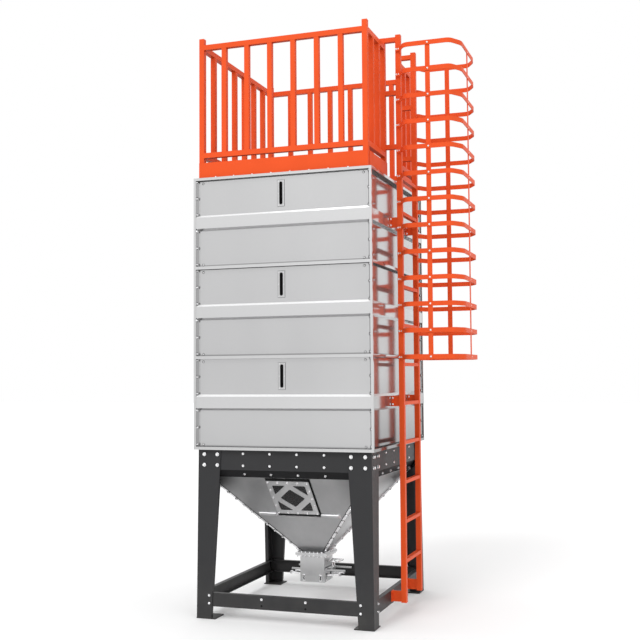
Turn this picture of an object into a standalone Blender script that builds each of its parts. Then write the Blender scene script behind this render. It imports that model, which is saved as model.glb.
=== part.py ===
"""Square grain silo with a hopper bottom, a roof guardrail and a caged ladder.

Units are metres. +X points right to the ladder side, +Y away from the front, +Z up. The silo is
built round the middle of its square body, and the empty "grain_silo" carries every piece, so that
the origin is the middle of the whole plan, cage included, at floor level.
"""
import bmesh
import bpy
from math import pi, sqrt
from mathutils import Matrix, Vector

# Driving dimensions of the body
WIDTH = 1.435               # over the corner flanges, along X
DEPTH = 1.545               # over the corner flanges, along Y
MODULE_HEIGHT = 0.6907      # one ring of wall panels
MODULE_COUNT = 3
BODY_BASE = 1.289           # underside of the lowest wall panels
GAP = 0.0003                # between pieces that touch

# Wall panels: folded sheet with outward flanges and a raised band at mid height
SHEET = 0.003
FLANGE = 0.031              # from the flange edge in to the sheet
TOP_LIP = 0.015
BOTTOM_LIP = 0.0075
BAND_FOOT = (0.284, 0.405)  # where the band leaves the sheet, above the panel's base
BAND_FACE = (0.301, 0.388)  # the band's flat face
BAND_INSET = 0.001
BAND_END = 0.0185           # the band runs this close to the flange edge of the next side
BAND_CLEARANCE = 0.0045     # its slanted end keeps this far from the corner's flange line
SLOT_LOW = 0.459
SLOT_HIGH = 0.629
SLOT_WIDTH = 0.018
CORNER_LIP = 0.018
CORNER_LEG = 0.040
CORNER_WEB = 0.003

# Supporting frame
RING_HEIGHT = 0.015
RING_WIDTH = 0.075
FRAME_INSET = {"x": 0.031, "y": 0.027}  # legs' outer faces at the top, in from the flange edge
LEG_SPLAY = 0.0115          # the feet stand this much further out
LEG_STEEL = 0.006
LEG_TOP_WIDTH = 0.187
LEG_FOOT_WIDTH = 0.120
LEG_RETURN = 0.029          # lip folded back along the free edge of each leg flange
LEG_RETURN_TOP = 1.050
FOOT_PLATE = 0.155
FOOT_PLATE_HEIGHT = 0.008
BEAM_STEEL = 0.005
BEAM_WEB = 0.1512
BEAM_TOP_FLANGE = 0.040
BEAM_LIP = 0.078
BEAM_LIP_END = 0.075        # the lips stop short of the frame's corners by this much
BASE_BEAM_LOW = 0.0935
BASE_BEAM_HIGH = 0.196
BASE_BEAM_FLANGE = 0.040

# Hopper and outlet
HOPPER_STEEL = 0.004
HOPPER_TOP = 1.1206
HOPPER_BOTTOM = 0.4215
HOPPER_MOUTH = 0.085        # half of the square mouth
HOPPER_SETBACK = 0.0088     # in from the beams' outer face, behind their lips
SEAM_FLANGE = 0.018
SEAM_START = 1.055          # the bolted corner flanges begin below the beams
RIB_LEVELS = ((0.7405, 0.0005), (0.7425, 0.0080), (0.7480, 0.0140), (0.7555, 0.0160),
              (0.7630, 0.0140), (0.7685, 0.0080), (0.7705, 0.0005))     # height, depth
RIB_HALF = 0.337
WINDOW_HALF = 0.120
WINDOW_RUN = (0.160, 0.430)     # down the slope from the hopper's top edge
GLASS_HALF = 0.148
GLASS_RUN = (0.132, 0.455)
GLASS_STEEL = 0.005
GUARD_HALF = 0.172
GUARD_RUN = (0.103, 0.474)
GUARD_STEEL = 0.003
GUARD_DIAMOND = 0.100
GUARD_CORNER = 0.104
GUARD_CORNER_HALF = 0.133
GUARD_CORNER_RUN = (0.152, 0.432)
WINDOW_SEAT = (0.186, 0.4955)   # half width and lower end of the flat seat that cuts into the rib
OUTLET_FLANGE = 0.1325
OUTLET_HALF = 0.102
OUTLET_STEEL = 0.004
OUTLET_TOP = 0.4212
OUTLET_JOINT = 0.4132
OUTLET_NECK = 0.4012
OUTLET_BOTTOM = 0.1885

# Slide gate
GATE_LEVEL = 0.2925
GATE_STEEL = 0.006
GATE_HALF = 0.090
GATE_SLOT_HALF = 0.097
GATE_SLOT_HEIGHT = 0.0117
GATE_RAIL = 0.012
GATE_RAIL_MIDDLE = 0.082
GATE_RAIL_LEFT = -0.181
GATE_RAIL_RIGHT = 0.270
GATE_BLADE = (-0.092, 0.118)
GATE_PULL = (0.118, 0.150)
GATE_PULL_DROP = 0.018

# Roof
ROOF_STEEL = 0.005
HATCH_RADIUS = 0.210
HATCH_RIM = 0.225
HATCH_HEIGHT = 0.055
HATCH_SIDES = 40

# Guardrail
TUBE = 0.040
BALUSTER = 0.038
RAIL_INSET = 0.033
POST_TOP = 4.472
TOP_RAIL = 4.421
LOWER_RAIL = 3.5675
TOE_TOP = 3.4895
TOE_STEEL = 0.004
BALUSTERS_A_SIDE = 6
SIDE_BALUSTERS = 2
END_PLATE = 0.006           # closes the ends of the left side's rails against the corner posts
RETURN_TOPS = (3.625, 4.050, POST_TOP)

# Ladder, on the middle of the right side
STILE_GAP = 0.0548          # from the flange edge out to the stile
STILE = 0.040
LADDER_HALF = 0.2604
LADDER_FOOT = 0.107
LADDER_TOP = 4.489
RUNG_HEIGHT = 0.026
RUNG_DEPTH = 0.036
FIRST_RUNG = 0.415
RUNG_PITCH = 0.300
REGULAR_RUNGS = 9
LAST_RUNG_PITCH = 0.275
LAST_RUNGS = 2
BRACKET_STEEL = 0.006
BRACKET_HEIGHT = 0.080
BRACKET_PAD = 0.060

# Safety cage
HOOP_COUNT = 13
FIRST_HOOP = 1.9697
HOOP_PITCH = 0.200
HOOP_HEIGHT = 0.036
HOOP_STEEL = 0.005
CAGE_TAB = 0.7758
CAGE_TAB_END = 0.8138
CAGE_FLARE = 0.8648
CAGE_HALF = 0.3546
CAGE_SPLIT = 1.195
CAGE_CORNER = 1.221
CAGE_OUT = 1.288
CAGE_OUTER_HALF = 0.240
STRAP_WIDTH = 0.038
STRAP_STEEL = 0.0045
STRAP_AT = 1.0486

HALF_X = WIDTH / 2
HALF_Y = DEPTH / 2
BODY_TOP = BODY_BASE + MODULE_COUNT * MODULE_HEIGHT
ROOF_TOP = BODY_TOP + ROOF_STEEL
RING_BASE = BODY_BASE - RING_HEIGHT
FRAME_TOP = RING_BASE - GAP
SHIFT_X = (HALF_X - CAGE_OUT - HOOP_STEEL) / 2

STEEL_DARK = ((0.045, 0.047, 0.050), 0.45, 0.0)
SHEET_GREY = ((0.62, 0.62, 0.62), 0.38, 0.9)
STAINLESS = ((0.56, 0.56, 0.56), 0.30, 1.0)
ORANGE = ((0.80, 0.10, 0.02), 0.42, 0.0)
GLASS_DARK = ((0.05, 0.07, 0.07), 0.08, 0.0)


def clear_scene():
    for item in list(bpy.data.objects):
        bpy.data.objects.remove(item, do_unlink=True)


def box(low, high):
    """A bmesh box between two corners."""
    bm = bmesh.new()
    bmesh.ops.create_cube(bm, size=1.0)
    low = Vector(low)
    high = Vector(high)
    bmesh.ops.scale(bm, vec=high - low, verts=bm.verts)
    bmesh.ops.translate(bm, vec=(low + high) / 2, verts=bm.verts)
    return bm


def prism(outline, start, end, axis):
    """A flat outline pushed along an axis: "x" takes (y, z), "y" takes (x, z), "z" takes (x, y)."""
    place = {
        "x": lambda a, b, c: (c, a, b),
        "y": lambda a, b, c: (a, c, b),
        "z": lambda a, b, c: (a, b, c),
    }[axis]
    bm = bmesh.new()
    ring = [bm.verts.new(place(a, b, start)) for a, b in outline]
    face = bm.faces.new(ring)
    pushed = bmesh.ops.extrude_face_region(bm, geom=[face])
    moved = [item for item in pushed["geom"] if isinstance(item, bmesh.types.BMVert)]
    bmesh.ops.translate(bm, vec=place(0, 0, end - start), verts=moved)
    bmesh.ops.recalc_face_normals(bm, faces=bm.faces)
    return bm


def folded(path, thickness):
    """The outline of a folded sheet: its path, thickened to the right of the walk."""
    points = [Vector(point) for point in path]
    turned = []
    for index, point in enumerate(points):
        before = points[max(index - 1, 0)]
        after = points[min(index + 1, len(points) - 1)]
        normals = []
        if point != before:
            step = (point - before).normalized()
            normals.append(Vector((step.y, -step.x)))
        if after != point:
            step = (after - point).normalized()
            normals.append(Vector((step.y, -step.x)))
        middle = sum(normals, Vector((0, 0))).normalized()
        turned.append(point + middle * thickness / middle.dot(normals[0]))
    return [tuple(point) for point in points] + [tuple(point) for point in reversed(turned)]


def loft(levels):
    """A closed solid through rings that all have the same number of corners."""
    bm = bmesh.new()
    rings = [[bm.verts.new(corner) for corner in level] for level in levels]
    count = len(rings[0])
    bm.faces.new(rings[0])
    bm.faces.new(rings[-1])
    for low, high in zip(rings, rings[1:]):
        for index in range(count):
            after = (index + 1) % count
            bm.faces.new((low[index], low[after], high[after], high[index]))
    bmesh.ops.recalc_face_normals(bm, faces=bm.faces)
    return bm


def as_object(parts, name):
    mesh = bpy.data.meshes.new(name)
    whole = bmesh.new()
    for part in parts:
        piece = bpy.data.meshes.new("piece")
        part.to_mesh(piece)
        whole.from_mesh(piece)
        bpy.data.meshes.remove(piece)
    whole.to_mesh(mesh)
    whole.free()
    item = bpy.data.objects.new(name, mesh)
    bpy.context.collection.objects.link(item)
    return item


def combine(target, tool, operation):
    """Apply one exact Boolean and return the new mesh's object."""
    change = target.modifiers.new("combine", "BOOLEAN")
    change.operation = operation
    change.solver = "EXACT"
    change.use_self = True
    change.object = tool
    bpy.context.view_layer.update()
    graph = bpy.context.evaluated_depsgraph_get()
    mesh = bpy.data.meshes.new_from_object(target.evaluated_get(graph))
    name = target.name
    bpy.data.objects.remove(tool, do_unlink=True)
    bpy.data.objects.remove(target, do_unlink=True)
    item = bpy.data.objects.new(name, mesh)
    bpy.context.collection.objects.link(item)
    return item


def paint(item, finish):
    colour, roughness, metallic = finish
    material = bpy.data.materials.new(item.name)
    material.use_nodes = True
    shader = material.node_tree.nodes["Principled BSDF"]
    shader.inputs["Base Color"].default_value = (*colour, 1.0)
    shader.inputs["Roughness"].default_value = roughness
    shader.inputs["Metallic"].default_value = metallic
    item.data.materials.clear()
    item.data.materials.append(material)


def solid(name, parts, finish, cuts=()):
    """One named piece: its parts fused, then its openings cut."""
    item = as_object(parts[:1], name)
    if len(parts) > 1:
        item = combine(item, as_object(parts[1:], "tool"), "UNION")
    if cuts:
        item = combine(item, as_object(cuts, "cutter"), "DIFFERENCE")
    item.name = name
    paint(item, finish)
    item.parent = bpy.data.objects["grain_silo"]
    return item


def sides():
    """The four sides: name, axis that the side runs along, and the sign of its outward direction."""
    return (("front", "x", -1), ("rear", "x", 1), ("left", "y", -1), ("right", "y", 1))


def outward(profile, axis, sign):
    """Turn (inset, height) pairs into the coordinates that prism() wants for that side."""
    edge = HALF_Y if axis == "x" else HALF_X
    return [(sign * (edge - inset), height) for inset, height in profile]


def wall_profile(base):
    """Section of one wall panel as (inset from the flange edge, height)."""
    high = base + MODULE_HEIGHT - GAP
    lip = SHEET
    path = [
        (lip, base + BOTTOM_LIP),
        (lip, base + SHEET),
        (FLANGE, base + SHEET),
        (FLANGE, base + BAND_FOOT[0]),
        (BAND_INSET, base + BAND_FACE[0]),
        (BAND_INSET, base + BAND_FACE[1]),
        (FLANGE, base + BAND_FOOT[1]),
        (FLANGE, high - SHEET),
        (lip, high - SHEET),
        (lip, high - TOP_LIP),
    ]
    return folded(path, SHEET)


def band_end(base):
    """Section of the closed end of the raised band, which reaches past the panel to the corner."""
    step = 0.0003
    back = FLANGE - 0.0013
    slope = (BAND_FACE[0] - BAND_FOOT[0]) * (FLANGE - back) / (FLANGE - BAND_INSET)
    return [
        (back, base + BAND_FOOT[0] + slope + step),
        (BAND_INSET + step, base + BAND_FACE[0] + step),
        (BAND_INSET + step, base + BAND_FACE[1] - step),
        (back, base + BAND_FOOT[1] - slope - step),
    ]


def band_wedge(axis, sign, end):
    """Plan of what is cut from the band's end, so that it clears the corner's diagonal flange."""
    clear = BAND_CLEARANCE
    out = 0.009
    deep = FLANGE + 0.001
    corners = [(-out + clear, -out), (deep + clear, deep), (-out + clear, deep)]
    if axis == "x":
        return [(end * (HALF_X - u), sign * (HALF_Y - v)) for u, v in corners]
    return [(sign * (HALF_X - v), end * (HALF_Y - u)) for u, v in corners]


def make_walls():
    for module in range(MODULE_COUNT):
        base = BODY_BASE + module * MODULE_HEIGHT
        for side, axis, sign in sides():
            half = HALF_X if axis == "x" else HALF_Y
            run = half - CORNER_LEG - GAP
            parts = [prism(outward(wall_profile(base), axis, sign), -run, run, axis)]
            cuts = []
            for end in (-1, 1):
                near = end * (run - 0.001)
                far = end * (half - BAND_END)
                parts.append(prism(outward(band_end(base), axis, sign), min(near, far), max(near, far), axis))
                wedge = band_wedge(axis, sign, end)
                cuts.append(prism(wedge, base + BAND_FOOT[0] - 0.01, base + BAND_FOOT[1] + 0.01, "z"))
            if side == "front":
                slot_low = (-SLOT_WIDTH / 2, -HALF_Y + FLANGE - SHEET, base + SLOT_LOW)
                slot_high = (SLOT_WIDTH / 2, -HALF_Y + FLANGE + 2 * SHEET, base + SLOT_HIGH)
                cuts.append(box(slot_low, slot_high))
            solid(f"wall_{module + 1}_{side}", parts, SHEET_GREY, cuts)


def corner_outline(sign_x, sign_y):
    """Plan of a corner post: outer lips, a diagonal web and two legs that cover the panel edges."""
    lip = CORNER_LIP
    inner = FLANGE + 0.002
    half = [
        (lip, 0),
        (lip, SHEET),
        (SHEET + CORNER_WEB, SHEET),
        (FLANGE - 0.001 + CORNER_WEB, FLANGE - 0.001),
        (CORNER_LEG, FLANGE - 0.001),
        (CORNER_LEG, inner),
    ]
    other = [(v, u) for u, v in reversed(half)]
    points = [(0, 0)] + half + [(inner, inner)] + other
    return [(sign_x * (HALF_X - u), sign_y * (HALF_Y - v)) for u, v in points]


def seam_outline(sign_x, sign_y):
    """Plan of the small L-shaped flange that closes the seam round a corner."""
    inner = FLANGE + 0.002
    half = [(CORNER_LEG, 0), (CORNER_LEG, inner)]
    points = [(0, 0)] + half + [(inner, inner)] + [(v, u) for u, v in reversed(half)]
    return [(sign_x * (HALF_X - u), sign_y * (HALF_Y - v)) for u, v in points]


def seam_lip(sign_x, sign_y, swap):
    """Plan of the upright lip on one side of a corner seam flange."""
    near = CORNER_LIP - 0.001
    points = [(near, 0), (CORNER_LEG, 0), (CORNER_LEG, SHEET), (near, SHEET)]
    if swap:
        points = [(v, u) for u, v in points]
    return [(sign_x * (HALF_X - u), sign_y * (HALF_Y - v)) for u, v in points]


def make_corner_posts():
    for row, sign_y in (("front", -1), ("rear", 1)):
        for column, sign_x in (("left", -1), ("right", 1)):
            parts = [prism(corner_outline(sign_x, sign_y), BODY_BASE, BODY_TOP - GAP, "z")]
            for seam in range(MODULE_COUNT + 1):
                low = BODY_BASE + seam * MODULE_HEIGHT - (SHEET + GAP if seam else 0)
                high = BODY_BASE + seam * MODULE_HEIGHT + (SHEET if seam < MODULE_COUNT else -GAP)
                parts.append(prism(seam_outline(sign_x, sign_y), low, high, "z"))
                middle = BODY_BASE + seam * MODULE_HEIGHT
                lip_low = middle - (TOP_LIP + GAP if seam else 0)
                lip_high = middle + (BOTTOM_LIP if seam < MODULE_COUNT else -GAP)
                for swap in (False, True):
                    parts.append(prism(seam_lip(sign_x, sign_y, swap), lip_low, lip_high, "z"))
            solid(f"corner_post_{row}_{column}", parts, SHEET_GREY)


def leg_inset(axis, height):
    """How far a leg's outer face stands in from the flange edge, on the sides along that axis."""
    return FRAME_INSET[axis] - LEG_SPLAY * (1 - height / FRAME_TOP)


def beam_inset(axis):
    return FRAME_INSET[axis] + LEG_STEEL + GAP


def leg_width(height):
    low = FOOT_PLATE_HEIGHT / 2
    return LEG_FOOT_WIDTH + (LEG_TOP_WIDTH - LEG_FOOT_WIDTH) * (height - low) / (FRAME_TOP - low)


def leg_level(sign_x, sign_y, height, points):
    """Corners measured in from a leg's outer edge, at a height."""
    edge_x = HALF_X - leg_inset("y", height)
    edge_y = HALF_Y - leg_inset("x", height)
    return [(sign_x * (edge_x - u), sign_y * (edge_y - v), height) for u, v in points]


def leg_ring(sign_x, sign_y, height):
    steel = LEG_STEEL
    width = leg_width(height)
    points = [(0, 0), (width, 0), (width, steel), (steel, steel), (steel, width), (0, width)]
    return leg_level(sign_x, sign_y, height, points)


def leg_return(sign_x, sign_y, height, swap):
    """The lip folded back from the free edge of one flange."""
    far = leg_width(height) - GAP
    near = far - LEG_STEEL
    points = [(near, LEG_STEEL - 0.001), (far, LEG_STEEL - 0.001), (far, LEG_RETURN), (near, LEG_RETURN)]
    if swap:
        points = [(v, u) for u, v in points]
    return leg_level(sign_x, sign_y, height, points)


def make_legs():
    for row, sign_y in (("front", -1), ("rear", 1)):
        for column, sign_x in (("left", -1), ("right", 1)):
            ends = (FOOT_PLATE_HEIGHT / 2, FRAME_TOP)
            parts = [loft([leg_ring(sign_x, sign_y, height) for height in ends])]
            spans = (
                (FOOT_PLATE_HEIGHT - 0.001, BASE_BEAM_LOW - 0.003),
                (BASE_BEAM_HIGH + 0.004, LEG_RETURN_TOP),
            )
            for span in spans:
                for swap in (False, True):
                    parts.append(loft([leg_return(sign_x, sign_y, height, swap) for height in span]))
            corner_x = sign_x * (HALF_X - leg_inset("y", 0) + 0.001)
            corner_y = sign_y * (HALF_Y - leg_inset("x", 0) + 0.001)
            far_x = corner_x - sign_x * FOOT_PLATE
            far_y = corner_y - sign_y * FOOT_PLATE
            low = (min(corner_x, far_x), min(corner_y, far_y), 0)
            high = (max(corner_x, far_x), max(corner_y, far_y), FOOT_PLATE_HEIGHT)
            parts.append(box(low, high))
            solid(f"leg_{row}_{column}", parts, STEEL_DARK)


def hopper_slope(axis):
    """Unit direction down the hopper side as (inward, down) and its top inset."""
    edge = HALF_Y if axis == "x" else HALF_X
    top_inset = beam_inset(axis) + HOPPER_SETBACK
    run = edge - top_inset - HOPPER_MOUTH
    drop = HOPPER_TOP - HOPPER_BOTTOM
    length = sqrt(run * run + drop * drop)
    return run / length, drop / length, top_inset


def make_top_beams():
    for side, axis, sign in sides():
        inward, down, _ = hopper_slope(axis)
        low = FRAME_TOP - BEAM_WEB
        inset = beam_inset(axis)
        web = [
            (inset + BEAM_TOP_FLANGE, FRAME_TOP),
            (inset, FRAME_TOP),
            (inset, low),
        ]
        lip = [
            (inset, low + 0.004),
            (inset, low),
            (inset + BEAM_LIP * inward, low - BEAM_LIP * down),
        ]
        if axis == "x":
            run = HALF_X - beam_inset("y") - GAP
            lip_run = run + GAP - BEAM_LIP_END
        else:
            run = HALF_Y - beam_inset("x") - BEAM_TOP_FLANGE - GAP
            lip_run = run + GAP + BEAM_TOP_FLANGE - BEAM_LIP_END
        web_outline = outward(folded(web, -BEAM_STEEL), axis, sign)
        lip_outline = outward(folded(lip, -BEAM_STEEL), axis, sign)
        parts = [prism(web_outline, -run, run, axis), prism(lip_outline, -lip_run, lip_run, axis)]
        solid(f"top_beam_{side}", parts, STEEL_DARK)


def make_base_beams():
    across = {"x": "y", "y": "x"}
    for side, axis, sign in sides():
        inset = leg_inset(axis, BASE_BEAM_HIGH) + LEG_STEEL + GAP
        end_inset = leg_inset(across[axis], BASE_BEAM_HIGH) + LEG_STEEL + GAP
        channel = [
            (inset + BASE_BEAM_FLANGE, BASE_BEAM_HIGH),
            (inset, BASE_BEAM_HIGH),
            (inset, BASE_BEAM_LOW),
            (inset + BASE_BEAM_FLANGE, BASE_BEAM_LOW),
        ]
        if axis == "x":
            run = HALF_X - end_inset - GAP
        else:
            run = HALF_Y - end_inset - BASE_BEAM_FLANGE - GAP
        outline = outward(folded(channel, -BEAM_STEEL), axis, sign)
        solid(f"base_beam_{side}", [prism(outline, -run, run, axis)], STEEL_DARK)


def make_base_ring():
    ring = box((-HALF_X, -HALF_Y, RING_BASE), (HALF_X, HALF_Y, BODY_BASE - GAP))
    inner_x = HALF_X - RING_WIDTH
    inner_y = HALF_Y - RING_WIDTH
    hole = box((-inner_x, -inner_y, RING_BASE - 0.01), (inner_x, inner_y, BODY_BASE + 0.01))
    solid("base_ring", [ring], SHEET_GREY, [hole])


def hopper_half(axis, height):
    """Half of the hopper's outer plan at a height, across the given side's outward direction."""
    edge = HALF_Y if axis == "x" else HALF_X
    inward, down, top_inset = hopper_slope(axis)
    return edge - top_inset - (HOPPER_TOP - height) * inward / down


def hopper_level(axis, sign, height, reach, outer_push=0.0, inner=HOPPER_STEEL):
    """One level of a sloping plate: outer edge, then inner edge, each from side to side."""
    _, down, _ = hopper_slope(axis)
    outer = sign * (hopper_half(axis, height) + outer_push / down)
    within = sign * (hopper_half(axis, height) - inner / down)
    face = reach - outer_push
    corners = [(-face, outer), (face, outer), (reach, within), (-reach, within)]
    if axis == "x":
        return [(along, across, height) for along, across in corners]
    return [(across, along, height) for along, across in corners]


def hopper_rib(axis, sign):
    """A rounded rib across a hopper plate, with slanted ends."""
    reach = RIB_HALF if axis == "x" else RIB_HALF + 0.03
    return loft([hopper_level(axis, sign, height, reach, depth, 0.001) for height, depth in RIB_LEVELS])


def slope_frame():
    """Matrix from the front slope's own axes (x, down the slope, outward) to the silo."""
    inward, down, top_inset = hopper_slope("x")
    start = Vector((0, -(HALF_Y - top_inset), HOPPER_TOP))
    along = Vector((0, inward, -down))
    out = Vector((0, -down, -inward))
    frame = Matrix((
        (1, 0, 0, start.x),
        (0, along.y, out.y, start.y),
        (0, along.z, out.z, start.z),
        (0, 0, 0, 1),
    ))
    return frame


def on_slope(outline, low, high):
    """A flat outline in slope coordinates, thickened between two outward distances."""
    bm = prism(outline, low, high, "z")
    bmesh.ops.transform(bm, matrix=slope_frame(), verts=bm.verts)
    bmesh.ops.recalc_face_normals(bm, faces=bm.faces)
    return bm


def rectangle(half, run):
    return [(-half, run[0]), (half, run[0]), (half, run[1]), (-half, run[1])]


def make_hopper():
    other = {"x": "y", "y": "x"}
    front_steel = HOPPER_STEEL / hopper_slope("x")[1]
    for side, axis, sign in sides():
        levels = []
        for height in (HOPPER_TOP, SEAM_START, HOPPER_BOTTOM):
            reach = hopper_half(other[axis], height)
            if axis == "x":
                reach += SEAM_FLANGE if height < HOPPER_TOP else 0
            else:
                reach -= front_steel + GAP
            levels.append(hopper_level(axis, sign, height, reach))
        parts = [loft(levels), hopper_rib(axis, sign)]
        cuts = []
        if axis == "y":
            for end in (-1, 1):
                fin = []
                for height in (SEAM_START, HOPPER_BOTTOM):
                    outer = sign * (hopper_half("y", height) + SEAM_FLANGE)
                    within = sign * (hopper_half("y", height) - 0.002)
                    near = end * (hopper_half("x", height) - front_steel - GAP)
                    deep = end * (hopper_half("x", height) - 2 * front_steel - GAP)
                    plan = ((outer, near), (within, near), (within, deep), (outer, deep))
                    fin.append([(across, along, height) for across, along in plan])
                parts.append(loft(fin))
        if side == "front":
            cuts.append(on_slope(rectangle(WINDOW_HALF, WINDOW_RUN), -0.02, 0.01))
            seat_half, seat_low = WINDOW_SEAT
            cuts.append(on_slope(rectangle(seat_half, (WINDOW_RUN[1] + 0.02, seat_low)), 0.0002, 0.03))
        solid(f"hopper_{side}", parts, STAINLESS, cuts)


def make_window():
    low = GAP
    high = low + GLASS_STEEL
    solid("window_glass", [on_slope(rectangle(GLASS_HALF, GLASS_RUN), low, high)], GLASS_DARK)
    low = high + GAP
    high = low + GUARD_STEEL
    middle = (GUARD_CORNER_RUN[0] + GUARD_CORNER_RUN[1]) / 2
    reach = GUARD_DIAMOND
    outlines = [[(0, middle - reach), (reach, middle), (0, middle + reach), (-reach, middle)]]
    corner_x = GUARD_CORNER_HALF
    for sign_x in (-1, 1):
        for end, direction in zip(GUARD_CORNER_RUN, (1, -1)):
            outlines.append([
                (sign_x * corner_x, end),
                (sign_x * (corner_x - GUARD_CORNER), end),
                (sign_x * corner_x, end + direction * GUARD_CORNER),
            ])
    cuts = [on_slope(outline, low - 0.005, high + 0.005) for outline in outlines]
    solid("window_guard", [on_slope(rectangle(GUARD_HALF, GUARD_RUN), low, high)], STAINLESS, cuts)


def make_outlet():
    inner = OUTLET_HALF - OUTLET_STEEL
    reach = OUTLET_FLANGE
    upper = box((-reach, -reach, OUTLET_JOINT), (reach, reach, OUTLET_TOP))
    half = HOPPER_MOUTH
    mouth = box((-half, -half, OUTLET_JOINT - 0.01), (half, half, OUTLET_TOP + 0.01))
    solid("outlet_flange", [upper], STAINLESS, [mouth])
    flange = box((-reach, -reach, OUTLET_NECK), (reach, reach, OUTLET_JOINT - GAP))
    throat = box((-OUTLET_HALF, -OUTLET_HALF, OUTLET_BOTTOM), (OUTLET_HALF, OUTLET_HALF, OUTLET_NECK + 0.002))
    bore = box((-inner, -inner, OUTLET_BOTTOM - 0.01), (inner, inner, OUTLET_JOINT + 0.01))
    shell = as_object([flange], "outlet_throat")
    shell = combine(shell, as_object([throat], "tool"), "UNION")
    shell = combine(shell, as_object([bore], "cutter"), "DIFFERENCE")
    rails = []
    for sign in (-1, 1):
        middle = sign * GATE_RAIL_MIDDLE
        low = (GATE_RAIL_LEFT, middle - GATE_RAIL / 2, GATE_LEVEL - GATE_RAIL)
        high = (GATE_RAIL_RIGHT, middle + GATE_RAIL / 2, GATE_LEVEL)
        rails.append(box(low, high))
    shell = combine(shell, as_object(rails, "tool"), "UNION")
    slot_low = (inner - 0.01, -GATE_SLOT_HALF, GATE_LEVEL)
    slot_high = (OUTLET_HALF + 0.01, GATE_SLOT_HALF, GATE_LEVEL + GATE_SLOT_HEIGHT)
    shell = combine(shell, as_object([box(slot_low, slot_high)], "cutter"), "DIFFERENCE")
    shell.name = "outlet_throat"
    paint(shell, STAINLESS)
    shell.parent = bpy.data.objects["grain_silo"]


def make_gate():
    low = GATE_LEVEL + GAP
    high = low + GATE_STEEL
    blade = box((GATE_BLADE[0], -GATE_HALF, low), (GATE_BLADE[1], GATE_HALF, high))
    neck = box((GATE_PULL[0] - 0.002, -GATE_HALF / 2, low), (GATE_PULL[1], GATE_HALF / 2, high))
    lip_low = (GATE_PULL[1] - 0.008, -GATE_HALF / 2, low - GATE_PULL_DROP)
    pull = box(lip_low, (GATE_PULL[1], GATE_HALF / 2, high))
    solid("slide_gate", [blade, neck, pull], STAINLESS)


def make_roof():
    deck = box((-HALF_X, -HALF_Y, BODY_TOP), (HALF_X, HALF_Y, ROOF_TOP))
    solid("roof_deck", [deck], SHEET_GREY)
    bm = bmesh.new()
    low = ROOF_TOP + GAP
    outline = [
        (0, low),
        (HATCH_RIM, low),
        (HATCH_RIM, low + 0.012),
        (HATCH_RADIUS, low + 0.016),
        (HATCH_RADIUS, low + HATCH_HEIGHT - 0.010),
        (HATCH_RADIUS - 0.012, low + HATCH_HEIGHT - 0.002),
        (0, low + HATCH_HEIGHT),
    ]
    ring = [bm.verts.new((radius, 0, height)) for radius, height in outline]
    edges = [bm.edges.new(pair) for pair in zip(ring, ring[1:])]
    bmesh.ops.spin(bm, geom=ring + edges, cent=(0, 0, 0), axis=(0, 0, 1), angle=2 * pi,
                   steps=HATCH_SIDES, use_merge=True)
    bmesh.ops.remove_doubles(bm, verts=bm.verts, dist=0.00001)
    bmesh.ops.recalc_face_normals(bm, faces=bm.faces)
    solid("roof_hatch", [bm], SHEET_GREY)


def bar(middle_x, middle_y, low, high, size):
    half = size / 2
    return box((middle_x - half, middle_y - half, low), (middle_x + half, middle_y + half, high))


def rail(axis, start, end, across, top, size=TUBE):
    half = size / 2
    if axis == "x":
        return box((start, across - half, top - size), (end, across + half, top))
    return box((across - half, start, top - size), (across + half, end, top))


def toe_board(axis, start, end, face, inward):
    """A thin board outside the posts, let one millimetre into them."""
    near = face
    far = face + inward * (TOE_STEEL + 0.001)
    low_face = min(near, far)
    high_face = max(near, far)
    low = ROOF_TOP + GAP
    if axis == "x":
        return box((start, low_face, low), (end, high_face, TOE_TOP))
    return box((low_face, start, low), (high_face, end, TOE_TOP))


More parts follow.
